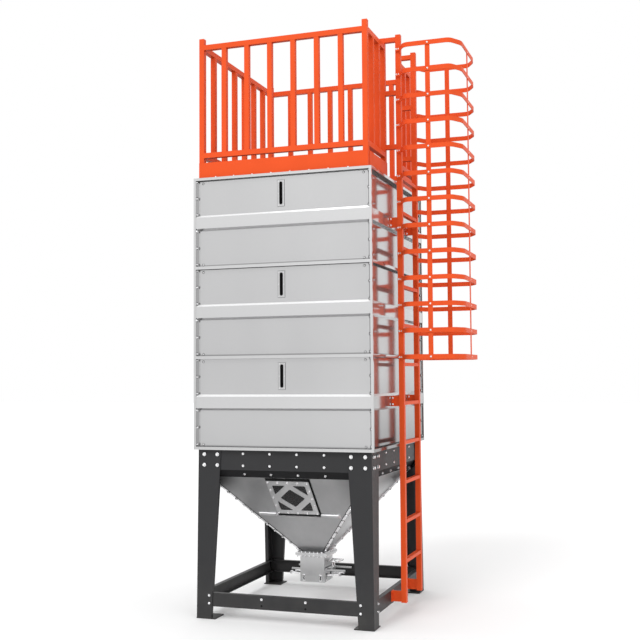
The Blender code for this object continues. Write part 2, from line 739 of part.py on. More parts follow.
def make_guardrail():
    post_x = HALF_X - RAIL_INSET - TUBE / 2
    post_y = HALF_Y - RAIL_INSET - TUBE / 2
    floor = ROOF_TOP + GAP
    inner = TUBE / 2 - 0.002
    for side, sign in (("front", -1), ("rear", 1)):
        across = sign * post_y
        parts = [bar(-post_x, across, floor, POST_TOP, TUBE), bar(post_x, across, floor, POST_TOP, TUBE)]
        for top in (TOP_RAIL, LOWER_RAIL):
            parts.append(rail("x", -post_x - inner, post_x + inner, across, top))
        for index in range(1, BALUSTERS_A_SIDE + 1):
            at = -post_x + 2 * post_x * index / (BALUSTERS_A_SIDE + 1)
            parts.append(bar(at, across, LOWER_RAIL - 0.002, TOP_RAIL - 0.002, BALUSTER))
        edge = post_x + TUBE / 2
        parts.append(toe_board("x", -edge, edge, sign * (post_y + TUBE / 2 + TOE_STEEL), -sign))
        solid(f"guardrail_{side}", parts, ORANGE)
    end_y = post_y - TUBE / 2 - GAP
    parts = []
    for top in (TOP_RAIL, LOWER_RAIL):
        parts.append(rail("y", -end_y, end_y, -post_x, top))
    for index in range(1, BALUSTERS_A_SIDE + 1):
        at = -post_y + 2 * post_y * index / (BALUSTERS_A_SIDE + 1)
        parts.append(bar(-post_x, at, LOWER_RAIL - 0.002, TOP_RAIL - 0.002, BALUSTER))
    parts.append(toe_board("y", -end_y, end_y, -(post_x + TUBE / 2 + TOE_STEEL), 1))
    half = TUBE / 2 - 0.002
    for sign in (-1, 1):
        near = sign * (end_y - 0.0002)
        far = sign * (end_y - END_PLATE)
        low = (-post_x - TUBE / 2 - TOE_STEEL + 0.001, min(near, far), floor + 0.001)
        high = (-post_x + half, max(near, far), TOP_RAIL - 0.002)
        parts.append(box(low, high))
    solid("guardrail_left", parts, ORANGE)
    open_y = LADDER_HALF - STILE / 2
    stile_x = HALF_X + STILE_GAP
    for side, sign in (("front", -1), ("rear", 1)):
        low_y = min(sign * open_y, sign * end_y)
        high_y = max(sign * open_y, sign * end_y)
        parts = [bar(post_x, sign * open_y, floor, POST_TOP, TUBE)]
        for top in (TOP_RAIL, LOWER_RAIL):
            parts.append(rail("y", low_y, high_y, post_x, top))
        for index in range(1, SIDE_BALUSTERS + 1):
            at = open_y + (post_y - open_y) * index / (SIDE_BALUSTERS + 1)
            parts.append(bar(post_x, sign * at, LOWER_RAIL - 0.002, TOP_RAIL - 0.002, BALUSTER))
        for top in RETURN_TOPS:
            reach = post_x + TUBE / 2 - 0.002
            parts.append(rail("x", reach, stile_x - GAP, sign * open_y, top, TUBE - 0.004))
        toe_low = min(sign * (open_y - TUBE / 2), sign * end_y)
        toe_high = max(sign * (open_y - TUBE / 2), sign * end_y)
        parts.append(toe_board("y", toe_low, toe_high, post_x + TUBE / 2 + TOE_STEEL, -1))
        solid(f"guardrail_right_{side}", parts, ORANGE)


def rung_tops():
    """Tops of the rungs: even steps, and two shorter ones so that the last is level with the roof."""
    heights = [FIRST_RUNG + index * RUNG_PITCH for index in range(REGULAR_RUNGS)]
    for _ in range(LAST_RUNGS):
        heights.append(heights[-1] + LAST_RUNG_PITCH)
    return heights


def ladder_bracket(face, near, at, low, high):
    """A plate from the wall or beam to a stile, and the bolted pad that it is welded to."""
    arm = box((face, at - BRACKET_STEEL / 2, low), (near + 0.001, at + BRACKET_STEEL / 2, high))
    pad = box((face, at - BRACKET_PAD / 2, low), (face + BRACKET_STEEL, at + BRACKET_PAD / 2, high))
    return [arm, pad]


def make_ladder():
    near = HALF_X + STILE_GAP
    far = near + STILE
    middle = LADDER_HALF - STILE / 2
    parts = []
    for sign in (-1, 1):
        low_y = min(sign * LADDER_HALF, sign * (LADDER_HALF - STILE))
        parts.append(box((near, low_y, LADDER_FOOT), (far, low_y + STILE, LADDER_TOP)))
    inset = (STILE - RUNG_DEPTH) / 2
    for height in rung_tops():
        low = (near + inset, -middle, height - RUNG_HEIGHT / 2)
        high = (far - inset, middle, height + RUNG_HEIGHT / 2)
        parts.append(box(low, high))
    band_middle = (BAND_FACE[0] + BAND_FACE[1]) / 2
    band_face = HALF_X - BAND_INSET + GAP
    for module in (0, 2):
        height = BODY_BASE + module * MODULE_HEIGHT + band_middle
        for sign in (-1, 1):
            at = sign * middle
            low = height - BRACKET_HEIGHT / 2
            high = height + BRACKET_HEIGHT / 2
            parts += ladder_bracket(band_face, near, at, low, high)
    beam_face = HALF_X - leg_inset("y", BASE_BEAM_HIGH) - LEG_STEEL
    for sign in (-1, 1):
        at = sign * middle
        low = LADDER_FOOT + 0.004
        high = BASE_BEAM_HIGH - 0.004
        parts += ladder_bracket(beam_face, near, at, low, high)
    solid("ladder", parts, ORANGE)


def hoop_heights():
    return [FIRST_HOOP + index * HOOP_PITCH for index in range(HOOP_COUNT)]


def cage_side_path(sign):
    tab = LADDER_HALF + GAP
    path = [
        (CAGE_TAB, tab),
        (CAGE_TAB_END, tab),
        (CAGE_FLARE, CAGE_HALF),
        (CAGE_SPLIT, CAGE_HALF),
    ]
    return [(x, sign * y) for x, y in path]


def cage_outer_path():
    half = [
        (CAGE_SPLIT + GAP, CAGE_HALF),
        (CAGE_CORNER, CAGE_HALF),
        (CAGE_OUT, CAGE_OUTER_HALF),
    ]
    return [(x, -y) for x, y in half] + [(x, y) for x, y in reversed(half)]


def make_cage():
    strap_low = FIRST_HOOP - HOOP_HEIGHT / 2
    strap_high = FIRST_HOOP + (HOOP_COUNT - 1) * HOOP_PITCH + HOOP_HEIGHT / 2
    for side, sign in (("front", -1), ("rear", 1)):
        outline = folded(cage_side_path(sign), -sign * HOOP_STEEL)
        parts = []
        for height in hoop_heights():
            parts.append(prism(outline, height - HOOP_HEIGHT / 2, height + HOOP_HEIGHT / 2, "z"))
        face = sign * (CAGE_HALF + 0.0005)
        deep = sign * (CAGE_HALF - STRAP_STEEL)
        low = (STRAP_AT - STRAP_WIDTH / 2, min(face, deep), strap_low + 0.002)
        high = (STRAP_AT + STRAP_WIDTH / 2, max(face, deep), strap_high - 0.002)
        parts.append(box(low, high))
        solid(f"cage_{side}", parts, ORANGE)
    outline = folded(cage_outer_path(), HOOP_STEEL)
    parts = []
    for height in hoop_heights():
        parts.append(prism(outline, height - HOOP_HEIGHT / 2, height + HOOP_HEIGHT / 2, "z"))
    low = (CAGE_OUT - STRAP_STEEL, -STRAP_WIDTH / 2, strap_low + 0.002)
    high = (CAGE_OUT + 0.0005, STRAP_WIDTH / 2, strap_high - 0.002)
    parts.append(box(low, high))
    solid("cage_outer", parts, ORANGE)


def main():
    clear_scene()
    root = bpy.data.objects.new("grain_silo", None)
    bpy.context.collection.objects.link(root)
    root.location = (SHIFT_X, 0, 0)
    make_legs()
    make_top_beams()
    make_base_beams()
    make_base_ring()
    make_hopper()
    make_window()
    make_outlet()
    make_gate()
    make_walls()
    make_corner_posts()
    make_roof()
    make_guardrail()
    make_ladder()
    make_cage()


main()
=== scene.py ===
"""Dresses the grain silo: sheet metal, painted steel, bolts, sight glass, cage hoops and studio."""
from math import cos, pi, radians, sin, sqrt

import bmesh
import bpy
from bpy.props import FloatProperty, FloatVectorProperty, IntProperty, PointerProperty
from mathutils import Matrix, Vector


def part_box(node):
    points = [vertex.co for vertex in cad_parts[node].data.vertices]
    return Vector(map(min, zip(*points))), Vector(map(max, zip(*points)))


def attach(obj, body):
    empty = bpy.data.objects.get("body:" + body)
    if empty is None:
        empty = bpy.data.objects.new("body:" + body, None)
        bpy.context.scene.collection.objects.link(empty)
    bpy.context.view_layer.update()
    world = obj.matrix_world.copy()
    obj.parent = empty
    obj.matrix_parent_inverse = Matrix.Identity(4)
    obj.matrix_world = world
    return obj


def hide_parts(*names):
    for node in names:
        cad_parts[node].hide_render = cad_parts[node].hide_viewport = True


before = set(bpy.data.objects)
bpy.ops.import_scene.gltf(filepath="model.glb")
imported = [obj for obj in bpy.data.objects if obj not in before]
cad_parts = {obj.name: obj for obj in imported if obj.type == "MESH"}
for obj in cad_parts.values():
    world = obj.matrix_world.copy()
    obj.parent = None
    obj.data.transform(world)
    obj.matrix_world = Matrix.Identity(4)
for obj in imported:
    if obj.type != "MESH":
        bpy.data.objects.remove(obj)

bl_info = {
    "name": "Grain silo dressing",
    "version": (1, 0, 0),
    "blender": (4, 5, 0),
    "location": "View3D > Sidebar > Silo",
    "description": "Finishes, fasteners and small fittings for a square hopper silo",
    "category": "Object",
}

# Places read from the frame
ROOF_LOW, ROOF_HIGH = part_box("roof_deck")
CENTRE = Vector(((ROOF_LOW.x + ROOF_HIGH.x) / 2, (ROOF_LOW.y + ROOF_HIGH.y) / 2, 0))
HALF_X = (ROOF_HIGH.x - ROOF_LOW.x) / 2
HALF_Y = (ROOF_HIGH.y - ROOF_LOW.y) / 2
ROOF_TOP = ROOF_HIGH.z
BODY_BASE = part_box("wall_1_front")[0].z
MODULE_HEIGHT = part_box("wall_2_front")[0].z - BODY_BASE
MODULES = 3
FRAME_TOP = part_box("leg_front_left")[1].z
SIDES = (
    ("front", Vector((0, -1, 0)), Vector((1, 0, 0)), HALF_Y, HALF_X),
    ("rear", Vector((0, 1, 0)), Vector((-1, 0, 0)), HALF_Y, HALF_X),
    ("left", Vector((-1, 0, 0)), Vector((0, -1, 0)), HALF_X, HALF_Y),
    ("right", Vector((1, 0, 0)), Vector((0, 1, 0)), HALF_X, HALF_Y),
)
CORNERS = (("front_left", -1, -1), ("front_right", 1, -1), ("rear_left", -1, 1), ("rear_right", 1, 1))
LEG_INSETS = {"front": 0.031, "rear": 0.031, "left": 0.027, "right": 0.027}
LEG_SPLAY = 0.0115
LEG_STEEL = 0.006
SLOPE_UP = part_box("hopper_front")[1].z
SLOPE_BEHIND = 0.0151       # from a leg's outer face at the top in to the hopper's edge
MOUTH_HALF = 0.085
MOUTH_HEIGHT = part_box("hopper_front")[0].z
PANEL_DEPTH = 0.031
BEAM_WEB = 0.1512
LADDER_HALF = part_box("ladder")[1].y
STRAP_PLACE = 1.0486
CAGE_HALF = 0.3546
BAND_MIDDLE = 0.3445

WALL_NODES = [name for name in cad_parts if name.startswith(("wall_", "corner_post"))]
WALL_NODES += ["base_ring", "roof_deck", "roof_hatch"]
STEEL_NODES = [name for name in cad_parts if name.startswith(("leg_", "top_beam", "base_beam"))]
HOPPER_NODES = ["hopper_front", "hopper_rear", "hopper_left", "hopper_right"]
OUTLET_NODES = ["outlet_flange", "outlet_throat", "slide_gate"]
ORANGE_NODES = [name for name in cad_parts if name.startswith("guardrail")] + ["ladder"]


# Shapes

def turned_to(point, outward, turn=0.0):
    """A matrix that stands a template on a point, with its own Z along the outward direction."""
    spin = outward.to_track_quat("Z", "Y").to_matrix().to_4x4()
    return Matrix.Translation(point) @ spin @ Matrix.Rotation(turn, 4, "Z")


def prism_ring(bm, sides, low_radius, high_radius, low, high, turn=0.0):
    """One capped frustum from low to high along Z."""
    place = Matrix.Translation((0, 0, (low + high) / 2)) @ Matrix.Rotation(turn, 4, "Z")
    bmesh.ops.create_cone(bm, cap_ends=True, segments=sides, radius1=low_radius, radius2=high_radius,
                          depth=high - low, matrix=place)


def bolt_template(across, height, washer, thread=0.0):
    """Washer, hexagon head with a chamfered top and, where asked, a thread end above it."""
    mesh = bpy.data.meshes.new("template")
    bm = bmesh.new()
    plate = washer * 0.09
    prism_ring(bm, 14, washer / 2, washer / 2 * 0.97, 0, plate)
    radius = across / sqrt(3)
    shoulder = plate + height * 0.78
    prism_ring(bm, 6, radius, radius, plate * 0.9, shoulder)
    prism_ring(bm, 6, radius, radius * 0.86, shoulder, plate + height)
    if thread:
        prism_ring(bm, 10, across * 0.31, across * 0.28, plate + height * 0.9, plate + height + thread)
    bm.to_mesh(mesh)
    bm.free()
    return mesh


def rivet_template(radius, height):
    """A low domed head."""
    mesh = bpy.data.meshes.new("template")
    bm = bmesh.new()
    prism_ring(bm, 12, radius, radius * 0.92, 0, height * 0.45)
    prism_ring(bm, 12, radius * 0.92, radius * 0.55, height * 0.45, height)
    bm.to_mesh(mesh)
    bm.free()
    return mesh


def stamp(bm, template, place):
    start = len(bm.verts)
    bm.from_mesh(template)
    bm.verts.ensure_lookup_table()
    bmesh.ops.transform(bm, matrix=place, verts=bm.verts[start:])


def block(bm, start, end, bevel=0.0):
    """A box between two opposite corners, with its edges eased."""
    low = Vector([min(pair) for pair in zip(start, end)])
    high = Vector([max(pair) for pair in zip(start, end)])
    place = Matrix.Translation((low + high) / 2) @ Matrix.Diagonal((*(high - low), 1))
    made = bmesh.ops.create_cube(bm, size=1.0, matrix=place)
    if bevel:
        edges = list({edge for vert in made["verts"] for edge in vert.link_edges})
        bmesh.ops.bevel(bm, geom=edges, offset=bevel, affect="EDGES", segments=2, profile=0.5, material=-1)


def rod(bm, start, end, radius, sides=12):
    start = Vector(start)
    end = Vector(end)
    way = end - start
    place = turned_to((start + end) / 2, way.normalized())
    bmesh.ops.create_cone(bm, cap_ends=True, segments=sides, radius1=radius, radius2=radius,
                          depth=way.length, matrix=place)


def finish_piece(name, bm, material, body, smooth=False):
    """Make the object, at the origin, with its finish and its body."""
    mesh = bpy.data.meshes.new(name)
    bm.to_mesh(mesh)
    bm.free()
    piece = bpy.data.objects.new(name, mesh)
    bpy.context.scene.collection.objects.link(piece)
    mesh.materials.append(material)
    if smooth:
        mesh.shade_smooth()
    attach(piece, body)
    return piece


def soften(node, width, segments=2):
    """Ease the sharp edges of a CAD piece without touching its mesh."""
    weld = node.modifiers.new("weld", "WELD")
    weld.merge_threshold = 0.00002
    flat = node.modifiers.new("flat", "DECIMATE")
    flat.decimate_type = "DISSOLVE"
    flat.angle_limit = radians(0.5)
    ease = node.modifiers.new("ease", "BEVEL")
    ease.width = width
    ease.segments = segments
    ease.limit_method = "ANGLE"
    ease.angle_limit = radians(32)
    ease.use_clamp_overlap = True


def dress(names, material, width=0.0):
    for name in names:
        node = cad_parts[name]
        node.data.materials.clear()
        node.data.materials.append(material)
        if width:
            soften(node, width)


# Finishes

class Finish:
    """A node material that reads Object coordinates."""

    def __init__(self, name):
        self.material = bpy.data.materials.new(name)
        self.material.use_nodes = True
        self.tree = self.material.node_tree
        self.shader = self.tree.nodes["Principled BSDF"]
        self.place = self.node("ShaderNodeTexCoord").outputs["Object"]
        self.facing = self.node("ShaderNodeNewGeometry").outputs["Normal"]

    def node(self, kind, **values):
        made = self.tree.nodes.new(kind)
        for key, value in values.items():
            setattr(made, key, value)
        return made

    def feed(self, socket, source):
        if hasattr(source, "links"):
            self.tree.links.new(source, socket)
        else:
            socket.default_value = source

    def stretched(self, scale):
        mapping = self.node("ShaderNodeMapping")
        self.feed(mapping.inputs["Vector"], self.place)
        mapping.inputs["Scale"].default_value = scale
        return mapping.outputs["Vector"]

    def noise(self, scale, detail=3.0, stretch=None, roughness=0.5, distortion=0.0):
        made = self.node("ShaderNodeTexNoise")
        self.feed(made.inputs["Vector"], self.stretched(stretch) if stretch else self.place)
        made.inputs["Scale"].default_value = scale
        made.inputs["Detail"].default_value = detail
        made.inputs["Roughness"].default_value = roughness
        made.inputs["Distortion"].default_value = distortion
        return made.outputs["Fac"]

    def ranged(self, value, low, high, to_low, to_high):
        made = self.node("ShaderNodeMapRange")
        self.feed(made.inputs["Value"], value)
        for key, number in zip(("From Min", "From Max", "To Min", "To Max"), (low, high, to_low, to_high)):
            made.inputs[key].default_value = number
        return made.outputs["Result"]

    def maths(self, operation, first, second=0.0):
        made = self.node("ShaderNodeMath", operation=operation)
        self.feed(made.inputs[0], first)
        self.feed(made.inputs[1], second)
        return made.outputs[0]

    def mixed(self, amount, first, second, blend="MIX"):
        made = self.node("ShaderNodeMix", data_type="RGBA", blend_type=blend)
        self.feed(made.inputs["Factor"], amount)
        self.feed(made.inputs["A"], first)
        self.feed(made.inputs["B"], second)
        return made.outputs["Result"]

    def parts(self, source):
        """X, Y and Z of the place on the piece, or of the way its surface faces."""
        split = self.node("ShaderNodeSeparateXYZ")
        self.feed(split.inputs[0], source)
        return split.outputs["X"], split.outputs["Y"], split.outputs["Z"]

    def proud(self, depth):
        """1 within that depth of the body's flange edges, 0 on the sheets behind them."""
        x, y, _ = self.parts(self.place)
        past = []
        for value, middle, half in ((x, CENTRE.x, HALF_X), (y, CENTRE.y, HALF_Y)):
            far = self.maths("ABSOLUTE", self.maths("SUBTRACT", value, middle))
            past.append(self.ranged(far, half - depth - 0.002, half - depth, 0.0, 1.0))
        return self.maths("MAXIMUM", *past)

    def bump(self, value, strength, distance, below=None):
        made = self.node("ShaderNodeBump")
        made.inputs["Strength"].default_value = strength
        made.inputs["Distance"].default_value = distance
        self.feed(made.inputs["Height"], value)
        if below:
            self.feed(made.inputs["Normal"], below)
        return made.outputs["Normal"]

    def surface(self, colour, roughness, metallic=0.0, normal=None, gloss=0.5):
        self.feed(self.shader.inputs["Base Color"], colour)
        self.feed(self.shader.inputs["Roughness"], roughness)
        self.feed(self.shader.inputs["Metallic"], metallic)
        self.feed(self.shader.inputs["Specular IOR Level"], gloss)
        if normal:
            self.feed(self.shader.inputs["Normal"], normal)
        return self.material


def shade(colour, factor):
    return (*(min(channel * factor, 1.0) for channel in colour), 1.0)


def sheet_finish(looks):
    """Bright sheet: soft random tones, with painted light and shade: a gradient darker low and to the left,
    painted highlights on the flange lips and up-facing folds, painted shade on the corner webs, the downward
    faces and the lower right side, and painted shadow lines above the seams.
    """
    kit = Finish("bright wall sheet")
    base = tuple(looks.sheet_colour)
    x, _, z = kit.parts(kit.place)
    turn_x, turn_y, turn_z = kit.parts(kit.facing)
    proud = kit.proud(0.012)
    # Painted light and shade: the sheet darker towards the bottom and the left, lighter towards the top and
    # the right.
    tone = kit.ranged(z, BODY_BASE, BODY_BASE + 0.6 * MODULE_HEIGHT, 0.83, 0.93)
    tone = kit.maths("ADD", tone, kit.ranged(z, BODY_BASE + 0.6 * MODULE_HEIGHT, ROOF_TOP, 0.0, 0.14))
    tone = kit.maths("ADD", tone, kit.ranged(x, CENTRE.x - HALF_X, CENTRE.x + HALF_X, -0.035, 0.04))
    broad = kit.noise(1.1, 2.0, (1.6, 1.6, 0.5))
    grain = kit.noise(60.0, 2.0, (6.0, 6.0, 0.25))
    colour = kit.mixed(kit.ranged(broad, 0.3, 0.7, 0.0, 1.0), shade(base, 0.97), shade(base, 1.03))
    colour = kit.mixed(kit.ranged(grain, 0.3, 0.7, 0.0, 0.25), colour, shade(base, 0.90))
    # Painted highlight: the proud flange and corner lips lighter.
    colour = kit.mixed(kit.maths("MULTIPLY", proud, 0.8), colour, shade(base, 1.17))
    # Painted shade: the diagonal corner webs darker.
    web = kit.maths("ABSOLUTE", kit.maths("MULTIPLY", turn_x, turn_y))
    colour = kit.mixed(kit.ranged(web, 0.3, 0.45, 0.0, 0.8), colour, shade(base, 0.60))
    # Painted shadow: a dark line on the recessed sheet just above each module's bottom flange.
    above = kit.maths("FLOORED_MODULO", kit.maths("SUBTRACT", z, BODY_BASE), MODULE_HEIGHT)
    seam_painted_shadow = kit.ranged(above, 0.006, 0.0075, 0.0, 0.6)
    seam_painted_shadow = kit.maths("MULTIPLY", seam_painted_shadow, kit.ranged(above, 0.014, 0.022, 1.0, 0.0))
    seam_painted_shadow = kit.maths("MULTIPLY", seam_painted_shadow, kit.maths("SUBTRACT", 1.0, proud))
    colour = kit.mixed(seam_painted_shadow, colour, shade(base, 0.25))
    # Painted shade: faces turned partly down darker.
    colour = kit.mixed(kit.ranged(turn_z, -0.5, -0.8, 0.0, 0.3), colour, shade(base, 0.3))
    # Painted shade: faces turned to the right darker, most on the lowest module.
    lower = kit.ranged(z, BODY_BASE, BODY_BASE + 0.8 * MODULE_HEIGHT, 0.85, 0.12)
    lower = kit.maths("MULTIPLY", lower, kit.ranged(turn_x, 0.8, 0.95, 0.0, 1.0))
    colour = kit.mixed(lower, colour, shade(base, 0.22))
    # The painted light and shade gradient multiplies the whole colour.
    colour = kit.mixed(1.0, colour, tone, "MULTIPLY")
    # Painted highlight: faces turned up, such as the top slopes of the bands, made light grey and less
    # metallic.
    slope = kit.ranged(turn_z, 0.25, 0.6, 0.0, 1.0)
    slope = kit.maths("MULTIPLY", slope, kit.ranged(turn_z, 0.93, 0.98, 1.0, 0.0))
    colour = kit.mixed(slope, colour, (0.90, 0.90, 0.905, 1.0))
    # Painted shade: faces turned straight down made near black and rougher.
    underside_painted_shade = kit.ranged(turn_z, -0.92, -0.985, 0.0, 0.94)
    colour = kit.mixed(underside_painted_shade, colour, shade(base, 0.06))
    metal = kit.maths("SUBTRACT", 0.84, kit.maths("MULTIPLY", slope, 0.75))
    rough = kit.ranged(broad, 0.25, 0.75, looks.sheet_roughness - 0.02, looks.sheet_roughness + 0.03)
    rough = kit.maths("ADD", rough, kit.maths("MULTIPLY", underside_painted_shade, 0.4))
    normal = kit.bump(kit.noise(2.3, 1.0, (1.0, 1.0, 0.8)), 0.08, 0.02)
    normal = kit.bump(grain, 0.015, 0.001, normal)
    return kit.surface(colour, rough, metal, normal)


def plate_finish(name, base, roughness, rib=None):
    """Brushed plate: soft streaks, faint stains and, on the hopper, painted light and shade: lighter side
    plates, painted highlights on the rib and on faces turned up or sideways, and painted shade on the top
    corners of the front and rear plates.
    """
    kit = Finish(name)
    streaks = kit.noise(9.0, 5.0, (1.0, 1.0, 0.25), 0.6)
    grain = kit.noise(140.0, 2.0, (1.0, 0.15, 0.15))
    stain = kit.noise(3.2, 4.0)
    colour = kit.mixed(kit.ranged(streaks, 0.3, 0.72, 0.0, 1.0), shade(base, 0.94), shade(base, 1.05))
    colour = kit.mixed(kit.ranged(stain, 0.5, 0.75, 0.0, 0.15), colour, shade(base, 0.80))
    if rib:
        x, y, z = kit.parts(kit.place)
        turn_x, turn_y, turn_z = kit.parts(kit.facing)
        far_x = kit.maths("ABSOLUTE", kit.maths("SUBTRACT", x, CENTRE.x))
        far_y = kit.maths("ABSOLUTE", kit.maths("SUBTRACT", y, CENTRE.y))
        faces_x = kit.ranged(kit.maths("ABSOLUTE", turn_x), 0.4, 0.55, 0.0, 1.0)
        faces_y = kit.ranged(kit.maths("ABSOLUTE", turn_y), 0.4, 0.55, 0.0, 1.0)
        # Painted light: the left and right plates lighter.
        colour = kit.mixed(faces_x, colour, shade(base, 1.40))
        # Painted shade: the upper outer corners of the front and rear plates darker.
        corner = kit.maths("MULTIPLY", faces_y, kit.ranged(far_x, 0.36, 0.60, 0.0, 0.85))
        corner = kit.maths("MULTIPLY", corner, kit.ranged(z, rib[1], SLOPE_UP - 0.1, 0.0, 1.0))
        colour = kit.mixed(corner, colour, shade(base, 0.22))
        # Painted highlight: the band of the rib lighter.
        level = kit.maths("MULTIPLY", kit.ranged(z, rib[0] - 0.001, rib[0], 0.0, 1.0),
                          kit.ranged(z, rib[1], rib[1] + 0.001, 1.0, 0.0))
        within = kit.ranged(kit.maths("MINIMUM", far_x, far_y), rib[2], rib[2] + 0.001, 1.0, 0.0)
        colour = kit.mixed(kit.maths("MULTIPLY", level, within), colour, shade(base, 1.5))
        # Painted highlight: faces turned up or sideways, such as the seam flanges, much lighter.
        colour = kit.mixed(kit.ranged(turn_z, -0.5, -0.3, 0.0, 1.0), colour, shade(base, 1.8))
    rough = kit.ranged(streaks, 0.2, 0.8, roughness - 0.03, roughness + 0.05)
    normal = kit.bump(kit.noise(5.0, 2.0), 0.06, 0.01)
    normal = kit.bump(grain, 0.05, 0.0006, normal)
    return kit.surface(colour, rough, 1.0, normal)


def zinc_finish(looks):
    """Bright plated fasteners and fittings."""
    kit = Finish("zinc plated fittings")
    base = tuple(looks.zinc_colour)
    patch = kit.noise(90.0, 3.0)
    colour = kit.mixed(kit.ranged(patch, 0.35, 0.65, 0.0, 1.0), shade(base, 0.86), shade(base, 1.06))
    rough = kit.ranged(patch, 0.3, 0.7, 0.18, 0.30)
    return kit.surface(colour, rough, 1.0, kit.bump(patch, 0.05, 0.0004))


def paint_finish(name, base, roughness, lighter, dirt, gloss, lip_gloss):
    """Sprayed paint: fine orange peel, slight tone changes, scuffs, and painted shade on the undersides."""
    kit = Finish(name)
    tone = kit.noise(2.6, 3.0)
    speck = kit.noise(38.0, 4.0, None, 0.7)
    colour = kit.mixed(kit.ranged(tone, 0.3, 0.7, 0.0, 1.0), shade(base, 0.95), shade(base, 1.05))
    colour = kit.mixed(kit.ranged(speck, 0.62, 0.78, 0.0, 0.3), colour, shade(lighter, 1.0))
    _, _, z = kit.parts(kit.place)
    if dirt:
        low = kit.ranged(z, 0.0, 0.45, dirt, 0.0)
        dust = kit.maths("MULTIPLY", low, kit.ranged(kit.noise(7.0, 5.0), 0.35, 0.7, 0.2, 1.0))
        colour = kit.mixed(dust, colour, (0.10, 0.095, 0.085, 1.0))
    _, _, turn_z = kit.parts(kit.facing)
    # Painted shade: faces turned down darker.
    colour = kit.mixed(kit.ranged(turn_z, -0.4, -0.6, 0.0, 0.6), colour, shade(base, 0.3))
    rough = kit.ranged(speck, 0.3, 0.7, roughness - 0.04, roughness + 0.06)
    normal = kit.bump(kit.noise(420.0, 2.0), 0.06, 0.0005)
    return kit.surface(colour, rough, 0.0, normal, kit.ranged(turn_z, -0.4, -0.6, gloss, lip_gloss))


def dark_finish(name, low, high, rough, gloss):
    """Black rubber, also standing for painted shadow rings and lines, or a dark clear pane, a little uneven.
    """
    kit = Finish(name)
    fine = kit.noise(60.0, 3.0)
    spots = kit.ranged(fine, 0.3, 0.7, 0.0, 1.0)
    colour = kit.mixed(spots, (low, low, low * 1.05, 1.0), (high, high, high * 1.05, 1.0))
    return kit.surface(colour, kit.ranged(fine, 0.3, 0.7, rough - 0.04, rough + 0.06), 0.0, None, gloss)


def floor_finish(looks):
    kit = Finish("pale studio floor")
    base = tuple(looks.floor_colour)
    tone = kit.noise(0.35, 2.0)
    colour = kit.mixed(kit.ranged(tone, 0.3, 0.7, 0.0, 1.0), shade(base, 0.99), shade(base, 1.01))
    return kit.surface(colour, 0.9, 0.0)


FINISHES = {}


def finish(name):
    """Each finish is made once and shared."""
    if name not in FINISHES:
        looks = bpy.context.scene.silo_looks
        makers = {
            "sheet": lambda: sheet_finish(looks),
            "hopper": lambda: plate_finish("brushed hopper plate", tuple(looks.hopper_colour),
                                           looks.hopper_roughness, (0.7408, 0.7702, 0.336)),
            "guard": lambda: plate_finish("brushed guard plate", tuple(looks.guard_colour),
                                          looks.hopper_roughness),
            "throat": lambda: plate_finish("brushed throat plate", tuple(looks.throat_colour),
                                           looks.hopper_roughness),
            "zinc": lambda: zinc_finish(looks),
            "frame": lambda: paint_finish("dark frame paint", tuple(looks.frame_colour),
                                          looks.frame_roughness, (0.05, 0.05, 0.052), 0.25, 0.25, 0.06),
            "orange": lambda: paint_finish("orange access paint", tuple(looks.orange_colour),
                                           looks.orange_roughness, (0.85, 0.15, 0.05), 0.0, 0.07, 0.05),
            # Black rubber for the seals, also the painted shadow rings under bolts and strips beside the
            # hopper's seams.
            "rubber_and_shadow": lambda: dark_finish("black seal rubber and painted shadow", 0.004, 0.010, 0.6, 0.1),
            "pane": lambda: dark_finish("dark sight pane", 0.010, 0.019, 0.14, 0.25),
            "slot": lambda: dark_finish("black slot pane", 0.001, 0.003, 0.3, 0.04),
            "floor": lambda: floor_finish(looks),
        }
        FINISHES[name] = makers[name]()
    return FINISHES[name]


# Settings

class SiloLooks(bpy.types.PropertyGroup):
    sheet_colour: FloatVectorProperty(name="Wall sheet", description="Reflection of the bright wall sheet",
                                      default=(0.565, 0.565, 0.57), subtype="COLOR", min=0, max=1)
    sheet_roughness: FloatProperty(name="Wall sheet roughness",
                                   description="How blurred the sheet's reflections are",
                                   default=0.11, min=0.05, max=1, subtype="FACTOR")
    hopper_colour: FloatVectorProperty(name="Hopper plate", description="Reflection of the hopper plate",
                                       default=(0.430, 0.430, 0.435), subtype="COLOR", min=0, max=1)
    guard_colour: FloatVectorProperty(name="Guard plate", description="Reflection of the window's guard",
                                      default=(0.60, 0.60, 0.605), subtype="COLOR", min=0, max=1)
    throat_colour: FloatVectorProperty(name="Throat plate",
                                       description="Reflection of the outlet's throat and flange",
                                       default=(0.62, 0.62, 0.625), subtype="COLOR", min=0, max=1)
    hopper_roughness: FloatProperty(name="Hopper roughness",
                                    description="How blurred the hopper's reflections are",
                                    default=0.32, min=0.05, max=1, subtype="FACTOR")
    zinc_colour: FloatVectorProperty(name="Fasteners", description="Reflection of plated bolts and fittings",
                                     default=(0.93, 0.93, 0.94), subtype="COLOR", min=0, max=1)
    frame_colour: FloatVectorProperty(name="Frame paint", description="Dark paint of the legs and beams",
                                      default=(0.025, 0.025, 0.0265), subtype="COLOR", min=0, max=1)
    frame_roughness: FloatProperty(name="Frame roughness", description="Sheen of the dark paint",
                                   default=0.45, min=0.05, max=1, subtype="FACTOR")
    orange_colour: FloatVectorProperty(name="Access paint",
                                       description="Orange paint of rails, ladder and cage",
                                       default=(0.74, 0.088, 0.021), subtype="COLOR", min=0, max=1)
    orange_roughness: FloatProperty(name="Access roughness", description="Sheen of the orange paint",
                                    default=0.40, min=0.05, max=1, subtype="FACTOR")
    floor_colour: FloatVectorProperty(name="Floor", description="Pale studio floor",
                                      default=(0.94, 0.94, 0.94), subtype="COLOR", min=0, max=1)


